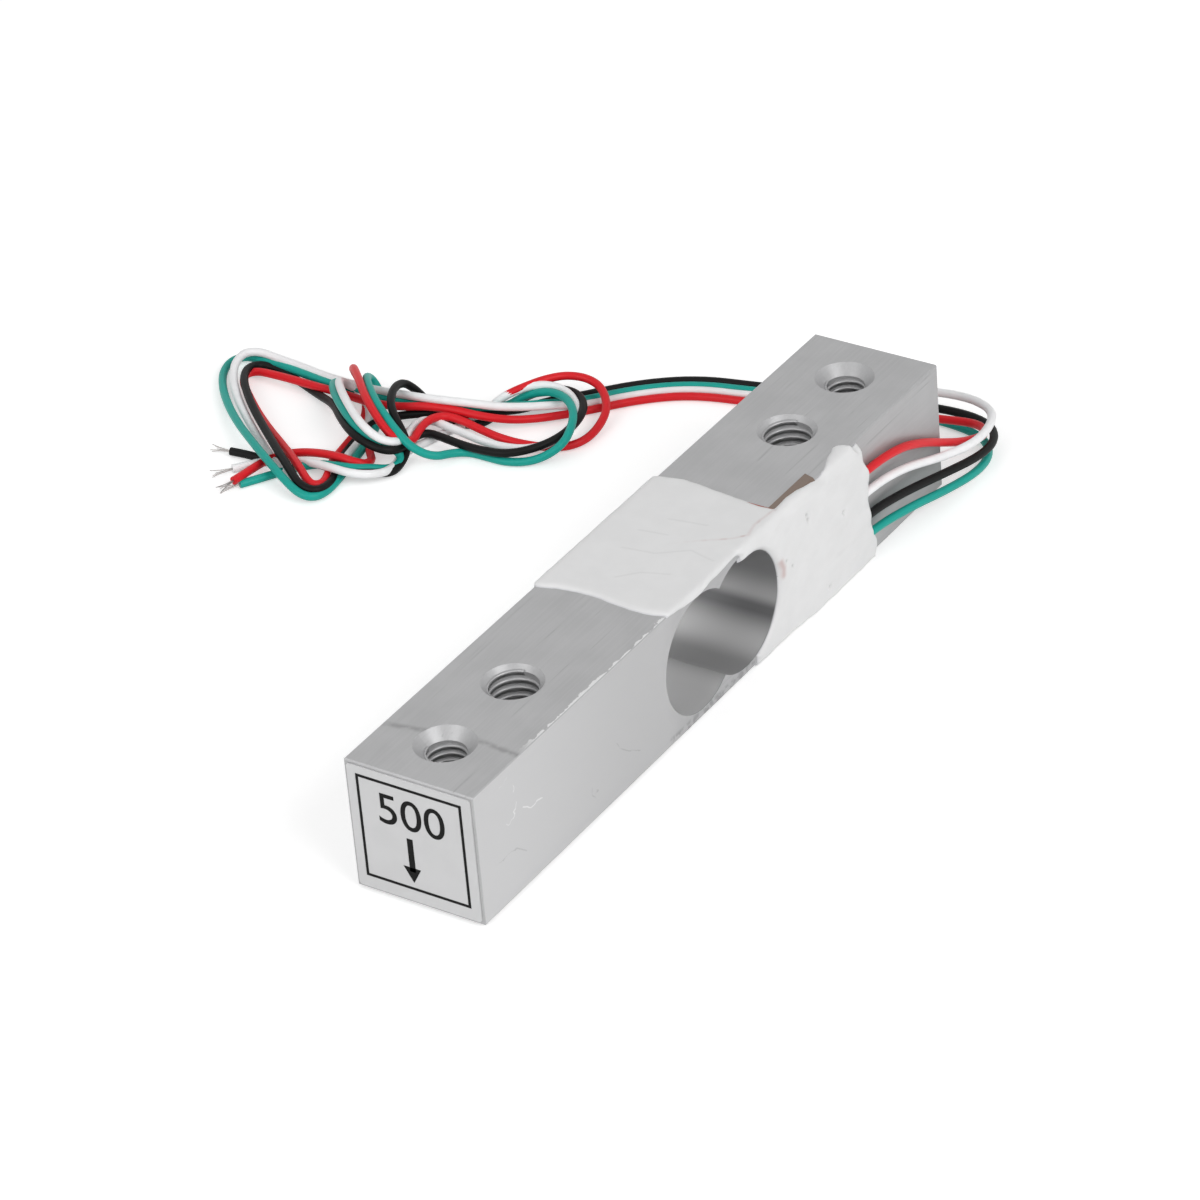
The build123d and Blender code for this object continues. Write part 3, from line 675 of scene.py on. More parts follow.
class PieceTree:
    """A Geometry Nodes tree with named inputs that ends in one plain mesh."""

    def __init__(self, name: str, inputs: dict[str, InputKind]) -> None:
        """Starts a tree.

        Args:
            name: The tree's name.
            inputs: Its named inputs.
        """
        self.tree = bpy.data.node_groups.new(name, "GeometryNodeTree")
        for label, kind in inputs.items():
            self.tree.interface.new_socket(name=label, in_out="INPUT", socket_type=kind.value)
        self.tree.interface.new_socket(name="Geometry", in_out="OUTPUT", socket_type="NodeSocketGeometry")
        self.given = self.tree.nodes.new("NodeGroupInput").outputs

    def node(
        self,
        kind: str,
        settings: dict[str, object] | None = None,
        inputs: dict[str | int, object] | None = None,
    ) -> bpy.types.Node:
        """Adds a node.

        Args:
            kind: The node's type.
            settings: Its own properties, set first.
            inputs: Values or links of its sockets, by name or index.

        Returns:
            The new node.
        """
        made = self.tree.nodes.new(kind)
        for name, value in (settings or {}).items():
            setattr(made, name, value)
        for key, value in (inputs or {}).items():
            if isinstance(value, bpy.types.NodeSocket):
                self.tree.links.new(value, made.inputs[key])
            else:
                made.inputs[key].default_value = value
        return made

    def close(self, shape: bpy.types.NodeSocket, finish: bpy.types.Material) -> None:
        """Ends the tree in real geometry with its material.

        Args:
            shape: The geometry so far.
            finish: The material it gets.
        """
        real = self.node("GeometryNodeRealizeInstances", inputs={0: shape}).outputs[0]
        painted = self.node("GeometryNodeSetMaterial", inputs={"Geometry": real, "Material": finish})
        self.node("NodeGroupOutput", inputs={0: painted.outputs[0]})

    def mesh(self, name: str, values: dict[str, float | int]) -> bpy.types.Mesh:
        """Runs the tree once.

        Args:
            name: Name of the mesh.
            values: The tree's inputs, by name.

        Returns:
            The resulting mesh.
        """
        holder = bpy.data.objects.new(name + "_holder", bpy.data.meshes.new(name + "_holder"))
        bpy.context.scene.collection.objects.link(holder)
        modifier = holder.modifiers.new("tree", "NODES")
        modifier.node_group = self.tree
        for item in self.tree.interface.items_tree:
            if item.in_out == "INPUT":
                modifier[item.identifier] = values[item.name]
        graph = bpy.context.evaluated_depsgraph_get()
        made = bpy.data.meshes.new_from_object(holder.evaluated_get(graph))
        made.name = name
        holder.modifiers.remove(modifier)
        bpy.data.objects.remove(holder)
        return made


def add_piece(name: str, data: bpy.types.ID, replaced: Sequence[str] = ()) -> bpy.types.Object:
    """Puts a finished mesh or curve in the scene, on the part.

    Args:
        name: The piece's name.
        data: Its mesh or curve, placed in metres.
        replaced: Solid nodes that it stands for.

    Returns:
        The new object.
    """
    piece = bpy.data.objects.new(name, data)
    bpy.context.scene.collection.objects.link(piece)
    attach(piece, BODY)
    if replaced:
        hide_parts(*replaced)
    LOG.info("made %s", name)
    return piece


def build_mesh(
    name: str, corners: np.ndarray, faces: Sequence[Sequence[int]], finish: bpy.types.Material
) -> bpy.types.Mesh:
    """Makes a smooth-shaded mesh.

    Args:
        name: Mesh name.
        corners: Points in millimetres, one row each.
        faces: Corner indices of each face.
        finish: Its material.

    Returns:
        The mesh, in metres.
    """
    mesh = bpy.data.meshes.new(name)
    mesh.from_pydata((corners * MM).tolist(), [], [list(face) for face in faces])
    mesh.materials.append(finish)
    mesh.shade_smooth()
    return mesh


@dataclass(frozen=True)
class PhotoCamera:
    """Camera at the photograph's place, found from the bar's corners, holes and bore."""

    azimuth: float = 0.6171652
    elevation: float = 0.5756542
    roll: float = -0.0874199
    focal_pixels: float = 5397.8
    frame_pixels: float = 1200.0
    sensor: float = 36.0
    distance: float = 463.591
    aside: float = 5.1132
    above: float = -1.1759

    def build(self) -> bpy.types.Object:
        """Adds the camera and makes it the scene's.

        Returns:
            The camera object.
        """
        flat = math.cos(self.elevation)
        back = Vector((
            math.sin(self.azimuth) * flat,
            -math.cos(self.azimuth) * flat,
            math.sin(self.elevation),
        ))
        level = Vector((0.0, 0.0, 1.0)).cross(back).normalized()
        steep = back.cross(level)
        turn, lean = math.cos(self.roll), math.sin(self.roll)
        right = turn * level + lean * steep
        up = turn * steep - lean * level
        place = Vector((0.0, 0.0, BAR_MIDDLE)) + self.distance * back - self.aside * right - self.above * up
        data = bpy.data.cameras.new("photo_camera")
        data.sensor_width = self.sensor
        data.lens = self.focal_pixels / self.frame_pixels * self.sensor
        data.clip_start = 0.01
        data.clip_end = 20.0
        camera = bpy.data.objects.new("photo_camera", data)
        bpy.context.scene.collection.objects.link(camera)
        turned = Matrix((right, up, back)).transposed().to_4x4()
        camera.matrix_world = Matrix.Translation(place * MM) @ turned
        bpy.context.scene.camera = camera
        return camera


@dataclass(frozen=True)
class Lamp:
    """One soft studio lamp that faces the bar."""

    name: str
    place: Point
    width: float
    power: float

    def build(self) -> None:
        """Adds the lamp."""
        data = bpy.data.lights.new(self.name, "AREA")
        data.shape = "SQUARE"
        data.size = self.width
        data.energy = self.power
        lamp = bpy.data.objects.new(self.name, data)
        bpy.context.scene.collection.objects.link(lamp)
        away = Vector(self.place)
        lamp.rotation_mode = "QUATERNION"
        lamp.rotation_quaternion = away.to_track_quat("Z", "Y")
        lamp.location = away


@dataclass
class Studio:
    """White floor, pale surroundings and soft lamps."""

    floor_reach: float = 3.0
    floor_tone: float = 0.86
    floor_lift: float = 0.42
    sky_level: float = 0.42
    lamps: list[Lamp] = field(default_factory=lambda: [
        Lamp("side_lamp", (0.42, -0.10, 0.30), 0.35, 1.45),
        Lamp("front_lamp", (-0.10, -0.50, 0.32), 0.40, 1.2),
        Lamp("top_lamp", (-0.15, 0.20, 0.60), 0.50, 0.15),
    ])

    @staticmethod
    def _seen(tree: bpy.types.NodeTree) -> bpy.types.NodeSocket:
        """1 for rays that show the background itself, also in a reflection.

        Args:
            tree: The node tree that asks.

        Returns:
            The output that carries the share of such rays.
        """
        path = tree.nodes.new("ShaderNodeLightPath")
        seen = path.outputs["Is Camera Ray"]
        for other in ("Is Glossy Ray", "Is Transmission Ray"):
            either = tree.nodes.new("ShaderNodeMath")
            either.operation = "MAXIMUM"
            tree.links.new(seen, either.inputs[0])
            tree.links.new(path.outputs[other], either.inputs[1])
            seen = either.outputs[0]
        return seen

    def _floor(self) -> None:
        """Adds the floor, whose own tone keeps the part's shadow."""
        p = Painter("white_floor")
        lift = Signal(p, self._seen(p.tree)) * self.floor_lift
        glow_inputs = {"Color": (1.0, 1.0, 1.0), "Strength": lift}
        glow = p.node("ShaderNodeEmission", inputs=glow_inputs)
        plain = p.node("ShaderNodeBsdfDiffuse", inputs={"Color": (self.floor_tone,) * 3})
        both = p.node("ShaderNodeAddShader", inputs={0: plain.outputs[0], 1: glow.outputs[0]})
        p.tree.links.new(both.outputs[0], p.output.inputs[0])
        p.tree.nodes.remove(p.shader)
        r = self.floor_reach / MM
        corners = np.array([(-r, -r, 0.0), (r, -r, 0.0), (r, r, 0.0), (-r, r, 0.0)])
        mesh = build_mesh("white_floor", corners, [(0, 1, 2, 3)], p.material)
        floor = bpy.data.objects.new("white_floor", mesh)
        bpy.context.scene.collection.objects.link(floor)

    def _sky(self) -> None:
        """Sets surroundings that look white and light the part softly."""
        world = bpy.data.worlds.new("pale_room")
        world.use_nodes = True
        nodes = world.node_tree.nodes
        nodes.clear()
        links = world.node_tree.links
        shine = nodes.new("ShaderNodeBackground")
        shine.inputs["Strength"].default_value = self.sky_level
        seen = nodes.new("ShaderNodeBackground")
        seen.inputs["Color"].default_value = (1.0, 1.0, 1.0, 1.0)
        either = nodes.new("ShaderNodeMixShader")
        links.new(self._seen(world.node_tree), either.inputs[0])
        links.new(shine.outputs[0], either.inputs[1])
        links.new(seen.outputs[0], either.inputs[2])
        out = nodes.new("ShaderNodeOutputWorld")
        links.new(either.outputs[0], out.inputs[0])
        shine.inputs["Color"].default_value = (1.0, 1.0, 1.0, 1.0)
        bpy.context.scene.world = world

    def build(self) -> None:
        """Adds floor, surroundings and lamps."""
        self._floor()
        self._sky()
        for lamp in self.lamps:
            lamp.build()
        bpy.context.scene.view_settings.view_transform = "Standard"


@dataclass
class Lead:
    """One insulated wire, from the side coat through the hank to its bare end."""

    colour: str
    height: float
    route: list[Point]
    hank: list[Point]
    tail: list[Point]
    strand_length: float = 2.0
    strand_radius: float = 0.045
    strand_count: int = 5
    strand_splay: float = 0.28

    def points(self) -> list[Point]:
        """All the points of the wire's line, in millimetres."""
        start = [(LEAD_X, LEAD_START, self.height), (LEAD_X, LEAD_EXIT, self.height)]
        return start + self.route + self.hank + self.tail

    def build(self, finishes: dict[str, bpy.types.Material], strands: PieceTree) -> None:
        """Makes the wire and its stripped end.

        Args:
            finishes: Materials by slot name.
            strands: Tree of the bare strands.
        """
        slot = f"{self.colour}_insulation"
        data = bpy.data.curves.new(f"{self.colour}_wire", "CURVE")
        data.dimensions = "3D"
        data.resolution_u = 6
        data.bevel_depth = WIRE_RADIUS * MM
        data.bevel_resolution = 4
        data.use_fill_caps = True
        points = self.points()
        line = data.splines.new("NURBS")
        line.points.add(len(points) - 1)
        for place, point in zip(line.points, points):
            place.co = (*(value * MM for value in point), 1.0)
        line.order_u = 3
        line.use_endpoint_u = True
        data.materials.append(finishes[slot])
        replaced = [f"{self.colour}_lead", "wire_hank", f"{self.colour}_tail"]
        wire = add_piece(f"{self.colour}_wire", data, replaced)
        bare = self._bare_end(strands)
        length = self.measure()
        LOG.info("%s wire is %.0f mm long", self.colour, length / MM)

    def measure(self) -> float:
        """Length of the wire's line.

        Returns:
            Length in metres, to the nearest millimetre.
        """
        points = [Vector(point) for point in self.points()]
        total = 0.0
        before = points[0]
        middles = [(a + b) / 2 for a, b in zip(points[1:], points[2:-1])] + [points[-1]]
        for corner, after in zip(points[1:-1], middles):
            last = before
            for step in range(1, MEASURE_STEPS + 1):
                share = step / MEASURE_STEPS
                spot = before * (1 - share) ** 2 + corner * (2 * share * (1 - share)) + after * share ** 2
                total += (spot - last).length
                last = spot
            before = after
        return round(total) * MM

    def _bare_end(self, strands: PieceTree) -> bpy.types.Object:
        """Fine strands that stand out of the stripped end.

        Args:
            strands: Their tree.

        Returns:
            The strands' object.
        """
        tip, inner = Vector(self.tail[-1]), Vector(self.tail[-2])
        outward = (tip - inner).normalized()
        values = {
            "Strands": self.strand_count,
            "Length": self.strand_length,
            "Radius": self.strand_radius,
            "Splay": self.strand_splay,
        }
        mesh = strands.mesh(f"{self.colour}_strands", values)
        turn = outward.to_track_quat("Z", "Y").to_matrix().to_4x4()
        mesh.transform(Matrix.Scale(MM, 4) @ Matrix.Translation(tip) @ turn)
        return add_piece(f"{self.colour}_strands", mesh, [f"{self.colour}_bare_end"])


def strand_tree(finish: bpy.types.Material) -> PieceTree:
    """Tree of fine strands that fan out from a wire's end, along +Z.

    Args:
        finish: Their material.

    Returns:
        The tree.
    """
    kinds = {
        "Strands": InputKind.COUNT,
        "Length": InputKind.LENGTH,
        "Radius": InputKind.LENGTH,
        "Splay": InputKind.LENGTH,
    }
    t = PieceTree("bare_strands", kinds)
    ends = t.node("ShaderNodeCombineXYZ", inputs={"X": t.given["Splay"], "Z": t.given["Length"]})
    half = t.node("ShaderNodeMath", {"operation": "MULTIPLY"}, {0: t.given["Length"], 1: 0.6})
    bend = t.node("ShaderNodeCombineXYZ", inputs={"X": 0.02, "Z": half.outputs[0]})
    line = t.node("GeometryNodeCurveQuadraticBezier", inputs={
        "Resolution": 8,
        "Start": (0.0, 0.0, -0.3),
        "Middle": bend.outputs[0],
        "End": ends.outputs[0],
    })
    ring = t.node("GeometryNodeCurvePrimitiveCircle", inputs={"Resolution": 6, "Radius": t.given["Radius"]})
    strand = t.node("GeometryNodeCurveToMesh", inputs={
        "Curve": line.outputs[0],
        "Profile Curve": ring.outputs[0],
        "Fill Caps": True,
    })
    circle = t.node("GeometryNodeMeshCircle", inputs={"Vertices": t.given["Strands"], "Radius": STRAND_RING})
    spot = t.node("GeometryNodeInputPosition")
    facing = t.node("FunctionNodeAlignRotationToVector", {"axis": "X"}, {"Vector": spot.outputs[0]})
    sizes = {2: 0.75, 3: 1.1, "Seed": STRAND_SEED}
    size = t.node("FunctionNodeRandomValue", {"data_type": "FLOAT"}, sizes)
    fan = t.node("GeometryNodeInstanceOnPoints", inputs={
        "Points": circle.outputs[0],
        "Instance": strand.outputs[0],
        "Rotation": facing.outputs[0],
        "Scale": size.outputs[1],
    })
    t.close(fan.outputs[0], finish)
    return t


def thread_tree(finish: bpy.types.Material) -> PieceTree:
    """Tree of one tapped hole's ridge, a helix round +Z.

    Args:
        finish: Its material.

    Returns:
        The tree.
    """
    kinds = {
        "Turns": InputKind.LENGTH,
        "Wall radius": InputKind.LENGTH,
        "Height": InputKind.LENGTH,
        "Ridge depth": InputKind.LENGTH,
        "Ridge width": InputKind.LENGTH,
    }
    t = PieceTree("thread_ridge", kinds)
    helix = t.node("GeometryNodeCurveSpiral", inputs={
        "Resolution": 40,
        "Rotations": t.given["Turns"],
        "Start Radius": t.given["Wall radius"],
        "End Radius": t.given["Wall radius"],
        "Height": t.given["Height"],
    })
    upright = t.node("GeometryNodeSetCurveNormal", {"mode": "Z_UP"}, {"Curve": helix.outputs[0]})
    ring = t.node("GeometryNodeCurvePrimitiveCircle", inputs={"Resolution": 3, "Radius": 1.0})
    section = {"X": t.given["Ridge depth"], "Y": t.given["Ridge width"]}
    shape = t.node("ShaderNodeCombineXYZ", inputs=section)
    profile = t.node("GeometryNodeTransform", inputs={
        "Geometry": ring.outputs[0],
        "Rotation": (0.0, 0.0, math.pi),
        "Scale": shape.outputs[0],
    })
    ridge = t.node("GeometryNodeCurveToMesh", inputs={
        "Curve": upright.outputs[0],
        "Profile Curve": profile.outputs[0],
        "Fill Caps": True,
    })
    t.close(ridge.outputs[0], finish)
    return t


@dataclass(frozen=True)
class TappedHole:
    """One tapped hole's ridges, on the solid's plain wall."""

    name: str
    y: float
    wall_radius: float
    pitch: float
    sink: float
    depth_share: float = 0.27
    width_share: float = 0.42

    def build(self, ridges: PieceTree) -> None:
        """Makes the ridges.

        Args:
            ridges: Their tree.
        """
        height = BAR_HEIGHT - 2 * self.sink
        values = {
            "Turns": height / self.pitch,
            "Wall radius": self.wall_radius,
            "Height": height,
            "Ridge depth": self.pitch * self.depth_share,
            "Ridge width": self.pitch * self.width_share,
        }
        mesh = ridges.mesh(self.name, values)
        mesh.transform(Matrix.Scale(MM, 4) @ Matrix.Translation((0.0, self.y, BAR_BOTTOM + self.sink)))
        add_piece(self.name, mesh)


def eased_line(points: Sequence[Pair], at: np.ndarray) -> np.ndarray:
    """Smooth curve through given points.

    Args:
        points: Pairs of place and value, in order of place.
        at: Places to read.

    Returns:
        Values at those places.
    """
    xs = np.array([p[0] for p in points])
    ys = np.array([p[1] for p in points])
    slopes = np.gradient(ys, xs)
    spot = np.clip(at, xs[0], xs[-1])
    i = np.clip(np.searchsorted(xs, spot) - 1, 0, len(xs) - 2)
    width = xs[i + 1] - xs[i]
    t = (spot - xs[i]) / width
    return (
        (2 * t ** 3 - 3 * t ** 2 + 1) * ys[i]
        + (t ** 3 - 2 * t ** 2 + t) * width * slopes[i]
        + (3 * t ** 2 - 2 * t ** 3) * ys[i + 1]
        + (t ** 3 - t ** 2) * width * slopes[i + 1]
    )


def ripple(a: np.ndarray, b: np.ndarray, size: float) -> np.ndarray:
    """Uneven waves between -1 and 1 over a surface.

    Args:
        a: First coordinate, in millimetres.
        b: Second coordinate, in millimetres.
        size: Rough distance between bumps.

    Returns:
        The wave height at each place.
    """
    k = 2 * math.pi / size
    first = np.sin(k * a + 1.3 * np.sin(0.6 * k * b))
    second = np.sin(k * 0.83 * b + 1.7 * np.sin(0.45 * k * a + 0.8))
    third = np.sin(k * 1.9 * (a + 0.7 * b) + 2.1)
    return (first + second + 0.6 * third) / 2.6


def soft_step(value: np.ndarray, low: float, high: float) -> np.ndarray:
    """0 below low, 1 above high, smooth between."""
    t = np.clip((value - low) / (high - low), 0.0, 1.0)
    return t * t * (3 - 2 * t)


@dataclass
class SiliconeSkin:
    """Brushed silicone as a skin over the bar's faces.

    The coordinate u runs round the bar: below 0 it is the distance in from the
    coated edge over the top face, and above 0 the depth down the side face.
    """

    name: str
    replaced: list[str]
    below: bool = False
    step: float = 0.13
    top_thickness: float = 0.27
    sunk: float = 0.10
    side_cap: float = 1.05
    below_cap: float = 0.295
    grid_past: float = 0.8
    grid_front: float = -9.8
    top_reach: Pair = (BAR_HEIGHT + 0.1, 25.4)
    below_reach: Pair = (2.0, 11.6)
    front_border: list[Pair] = field(default_factory=lambda: [
        (-6.35, -9.1), (-5.8, -9.05), (-4.2, -8.6), (-1.4, -8.3), (2.2, -8.6), (4.6, -8.6), (6.35, -8.15),
    ])
    rear_border: list[Pair] = field(default_factory=lambda: [
        (-6.35, 10.4), (-4.3, 10.9), (-0.7, 10.7), (2.0, 10.4), (5.3, 10.2), (6.35, 10.4),
    ])
    edge_drop: list[Pair] = field(default_factory=lambda: [
        (-9.0, 0.05), (-7.4, 0.2), (-5.5, 0.5), (-3.6, 0.7), (-1.7, 0.5), (0.3, 0.4), (1.9, 0.3),
        (3.0, 0.35), (3.8, 1.0), (12.0, 0.8),
    ])
    lip_reach: list[Pair] = field(default_factory=lambda: [
        (3.0, 0.4), (9.8, 0.7), (10.5, 0.66), (12.5, 0.73), (15.0, 0.14), (16.3, -0.2), (18.0, 0.22),
        (20.3, 0.97), (21.6, 0.9), (22.1, -0.1), (23.2, -0.25),
    ])
    side_rear: list[Pair] = field(default_factory=lambda: [
        (0.0, 23.1), (1.95, 23.4), (3.5, 24.1), (5.6, 23.7), (7.3, 24.0), (9.8, 24.3), (11.0, 24.9),
        (12.5, 24.5),
    ])
    stain_line: list[Pair] = field(default_factory=lambda: [
        (-0.36, 9.9), (-0.65, 7.15), (-0.3, 5.4), (-1.15, 4.4), (-3.9, 2.55), (-7.0, 0.2),
    ])
    brush_lines: list[list[Pair]] = field(default_factory=lambda: [
        [(-0.8, 0.6), (-3.4, 1.2), (-6.0, -0.6), (-9.0, -1.0)],
        [(-3.0, -2.8), (-5.4, -3.6), (-7.0, -5.2)],
        [(-6.5, 2.4), (-9.2, 2.0)],
        [(-4.2, 5.2), (-7.8, 4.6)],
    ])
    rosy_line: list[Pair] = field(default_factory=lambda: [(4.6, 9.3), (5.4, 9.6), (6.1, 9.6)])
    pits: list[Point] = field(default_factory=lambda: [
        (2.0, 13.4, 0.26), (2.5, 13.5, 0.24), (11.0, 16.2, 0.24), (5.9, 11.0, 0.2), (4.9, 19.0, 0.22),
        (4.9, 10.1, 0.18),
    ])

    def _rim_radius(self, u: np.ndarray, y: np.ndarray) -> np.ndarray:
        """Radius of the opening that the silicone leaves at a lobe.

        Args:
            u: Depth down the side.
            y: Place along the bar.

        Returns:
            The lobe's radius, less where silicone hangs over its top.
        """
        angle = np.degrees(np.arctan2(BAR_HEIGHT / 2 - u, y - LOBE_OFFSET))
        hang = 0.5 * np.exp(-(((angle - 88.0) / 26.0) ** 2))
        return np.where(y > 0, LOBE_RADIUS - hang, LOBE_RADIUS)

    def _bore_distance(self, u: np.ndarray, y: np.ndarray) -> np.ndarray:
        """Distance outside the twin bore's rim on the side face.

        Args:
            u: Depth down the side.
            y: Place along the bar.

        Returns:
            Distance, negative inside the bore.
        """
        z = BAR_HEIGHT / 2 - u
        lobe = np.where(y > 0, LOBE_OFFSET, -LOBE_OFFSET)
        return np.hypot(y - lobe, z) - self._rim_radius(u, y)

    def _cover(self, u: np.ndarray, y: np.ndarray) -> np.ndarray:
        """How far inside the silicone's border a place is.

        Args:
            u: Coordinate round the bar.
            y: Place along the bar.

        Returns:
            Distance in, negative outside.
        """
        x = HALF_WIDTH + np.minimum(u, 0.0)
        wander = 0.05 * ripple(u, y, 2.2)
        front = y - eased_line(self.front_border, x)
        rear = eased_line(self.rear_border, x) - y
        drop = eased_line(self.edge_drop, y)
        far_drop = u + BAR_WIDTH + 0.35
        if self.below:
            drop, far_drop = np.full_like(u, -0.35), u + BAR_WIDTH - 0.35
        brushed = np.minimum(np.minimum(front, rear), np.minimum(drop - u, far_drop)) + wander
        if self.below:
            return brushed
        reach = u + eased_line(self.lip_reach, y)
        end = eased_line(self.side_rear, u) - y
        foot = BAR_HEIGHT + 0.12 - u
        start = y - 3.4 - 1.6 * soft_step(u, 8.0, 12.0)
        blob = np.minimum(np.minimum(reach, end), np.minimum(foot, start)) + wander
        return np.maximum(brushed, blob)

    def _thickness(self, u: np.ndarray, y: np.ndarray, cover: np.ndarray) -> np.ndarray:
        """Silicone's height over the metal.

        Args:
            u: Coordinate round the bar.
            y: Place along the bar.
            cover: Distance inside the border.

        Returns:
            Height, negative where it dips out of sight.
        """
        full = self.top_thickness + 0.02 * ripple(u, y, 4.1)
        if not self.below:
            side = 0.42 + 0.48 * soft_step(y, 9.5, 15.0) + 0.05 * ripple(u, y, 3.3)
            wires = np.zeros_like(u)
            for height in LEAD_HEIGHTS:
                ridge = np.exp(-((BAR_TOP - height - u) / 0.7) ** 2)
                wires = np.maximum(wires, ridge * soft_step(y, 13.5, 17.0))
            side = side + (1.02 - side) * wires
            full = full + (side - full) * soft_step(u, -0.2, 0.8)
            for pit_u, pit_y, radius in self.pits:
                full = full * (1 - 0.3 * np.exp(-((u - pit_u) ** 2 + (y - pit_y) ** 2) / radius ** 2))
        full = np.minimum(full, self.below_cap if self.below else self.side_cap)
        return np.where(cover > 0, full * np.tanh(cover / 0.32), np.maximum(cover, -self.sunk))

    def _surface(self, u: np.ndarray, y: np.ndarray, rise: np.ndarray) -> np.ndarray:
        """Points over the metal.

        Args:
            u: Coordinate round the bar.
            y: Place along the bar.
            rise: Height over the metal.

        Returns:
            Points in millimetres, one row each.
        """
        near = soft_step(u, -0.35, 0.35)
        far = soft_step(-BAR_WIDTH - u, -0.35, 0.35)
        angle = (near - far) * math.pi / 2
        base_x = HALF_WIDTH + np.clip(u, -BAR_WIDTH, 0.0)
        base_z = BAR_TOP - np.maximum(u, 0.0) - np.maximum(-BAR_WIDTH - u, 0.0)
        x = base_x + rise * np.sin(angle)
        z = base_z + rise * np.cos(angle)
        if self.below:
            z = 2 * BAR_MIDDLE - z
        return np.stack([x, y, z], axis=-1)

    def build(self, finish: bpy.types.Material) -> bpy.types.Object:
        """Makes the skin as a closed shell.

        Args:
            finish: Its material.

        Returns:
            The skin's object.
        """
        low_u, low_y = -BAR_WIDTH - self.grid_past, self.grid_front
        high_u, high_y = self.below_reach if self.below else self.top_reach
        us = np.linspace(low_u, high_u, int((high_u - low_u) / self.step))
        ys = np.linspace(low_y, high_y, int((high_y - low_y) / self.step))
        u, y = np.meshgrid(us, ys, indexing="ij")
        cover = self._cover(u, y)
        if not self.below:
            on_side = u > 0
            inside = on_side & (self._bore_distance(u, y) < 0)
            near_rim = inside & (self._bore_distance(u, y) > -1.1 * self.step)
            lobe = np.where(y > 0, LOBE_OFFSET, -LOBE_OFFSET)
            z = BAR_HEIGHT / 2 - u
            away = np.maximum(np.hypot(y - lobe, z), 1e-6)
            scale = np.where(near_rim, (self._rim_radius(u, y) + 0.01) / away, 1.0)
            y = lobe + (y - lobe) * scale
            u = BAR_HEIGHT / 2 - z * scale
            cover = np.where(on_side, np.minimum(cover, self._bore_distance(u, y)), cover)
            cover = np.where(inside & ~near_rim, -9.0, cover)
        rise = self._thickness(u, y, cover)
        outer = self._surface(u, y, rise).reshape(-1, 3)
        inner = self._surface(u, y, np.full_like(rise, -self.sunk - 0.05)).reshape(-1, 3)
        shades = {"thickness": rise, "stain": self._stain(u, y), "grey_marks": self._grey_marks(u, y)}
        return self._shell(outer, inner, shades, cover, finish)

    @staticmethod
    def _line_distance(u: np.ndarray, y: np.ndarray, line: Sequence[Pair]) -> np.ndarray:
        """Distance from a chosen line.

        Args:
            u: Coordinate round the bar.
            y: Place along the bar.
            line: Places the line runs through.

        Returns:
            Distance at each place.
        """
        nearest = np.full_like(u, 9.0)
        for (u0, y0), (u1, y1) in zip(line, line[1:]):
            along = ((u - u0) * (u1 - u0) + (y - y0) * (y1 - y0)) / ((u1 - u0) ** 2 + (y1 - y0) ** 2)
            t = np.clip(along, 0.0, 1.0)
            nearest = np.minimum(nearest, np.hypot(u - u0 - t * (u1 - u0), y - y0 - t * (y1 - y0)))
        return nearest

    def _stain(self, u: np.ndarray, y: np.ndarray) -> np.ndarray:
        """Strength of the rosy line where a jumper shows through.

        Args:
            u: Coordinate round the bar.
            y: Place along the bar.

        Returns:
            Strength, 0 to 1.
        """
        if self.below:
            return np.zeros_like(u)
        patchy = 0.35 + 0.65 * soft_step(ripple(u, y, 1.9), -0.2, 0.5)
        fade = soft_step(y, 1.0, 6.5) * 0.6 * patchy
        crack = fade * np.exp(-((self._line_distance(u, y, self.stain_line) / 0.13) ** 2))
        rosy = 0.5 * np.exp(-((self._line_distance(u, y, self.rosy_line) / 0.3) ** 2))
        return np.maximum(crack, rosy)

    def _grey_marks(self, u: np.ndarray, y: np.ndarray) -> np.ndarray:
        """Strength of the grey in pits and faint brush lines.

        Args:
            u: Coordinate round the bar.
            y: Place along the bar.

        Returns:
            Strength, 0 to 1.
        """
        grey_marks = np.zeros_like(u)
        if self.below:
            return grey_marks
        for pit_u, pit_y, radius in self.pits:
            spread = ((u - pit_u) ** 2 + (y - pit_y) ** 2) / (0.6 * radius) ** 2
            grey_marks = np.maximum(grey_marks, 0.5 * np.exp(-spread))
        for line in self.brush_lines:
            grey_marks = np.maximum(grey_marks, 0.12 * np.exp(-((self._line_distance(u, y, line) / 0.1) ** 2)))
        return grey_marks

    def _shell(
        self,
        outer: np.ndarray,
        inner: np.ndarray,
        shades: dict[str, np.ndarray],
        cover: np.ndarray,
        finish: bpy.types.Material,
    ) -> bpy.types.Object:
        """Joins outer and hidden inner surface into a closed mesh.

        Args:
            outer: Outer points.
            inner: Hidden points.
            shades: Numbers that the finish reads, on the grid.
            cover: Distance inside the border, on the grid.
            finish: Material.

        Returns:
            The skin's object.
        """
        rows, columns = cover.shape
        index = np.arange(rows * columns).reshape(rows, columns)
        corners = [index[:-1, :-1], index[1:, :-1], index[1:, 1:], index[:-1, 1:]]
        quads = np.stack(corners, axis=-1).reshape(-1, 4)
        values = cover.reshape(-1)[quads]
        quads = quads[(values.max(axis=1) > -0.1) & (values.min(axis=1) > -5.0)]
        count = rows * columns
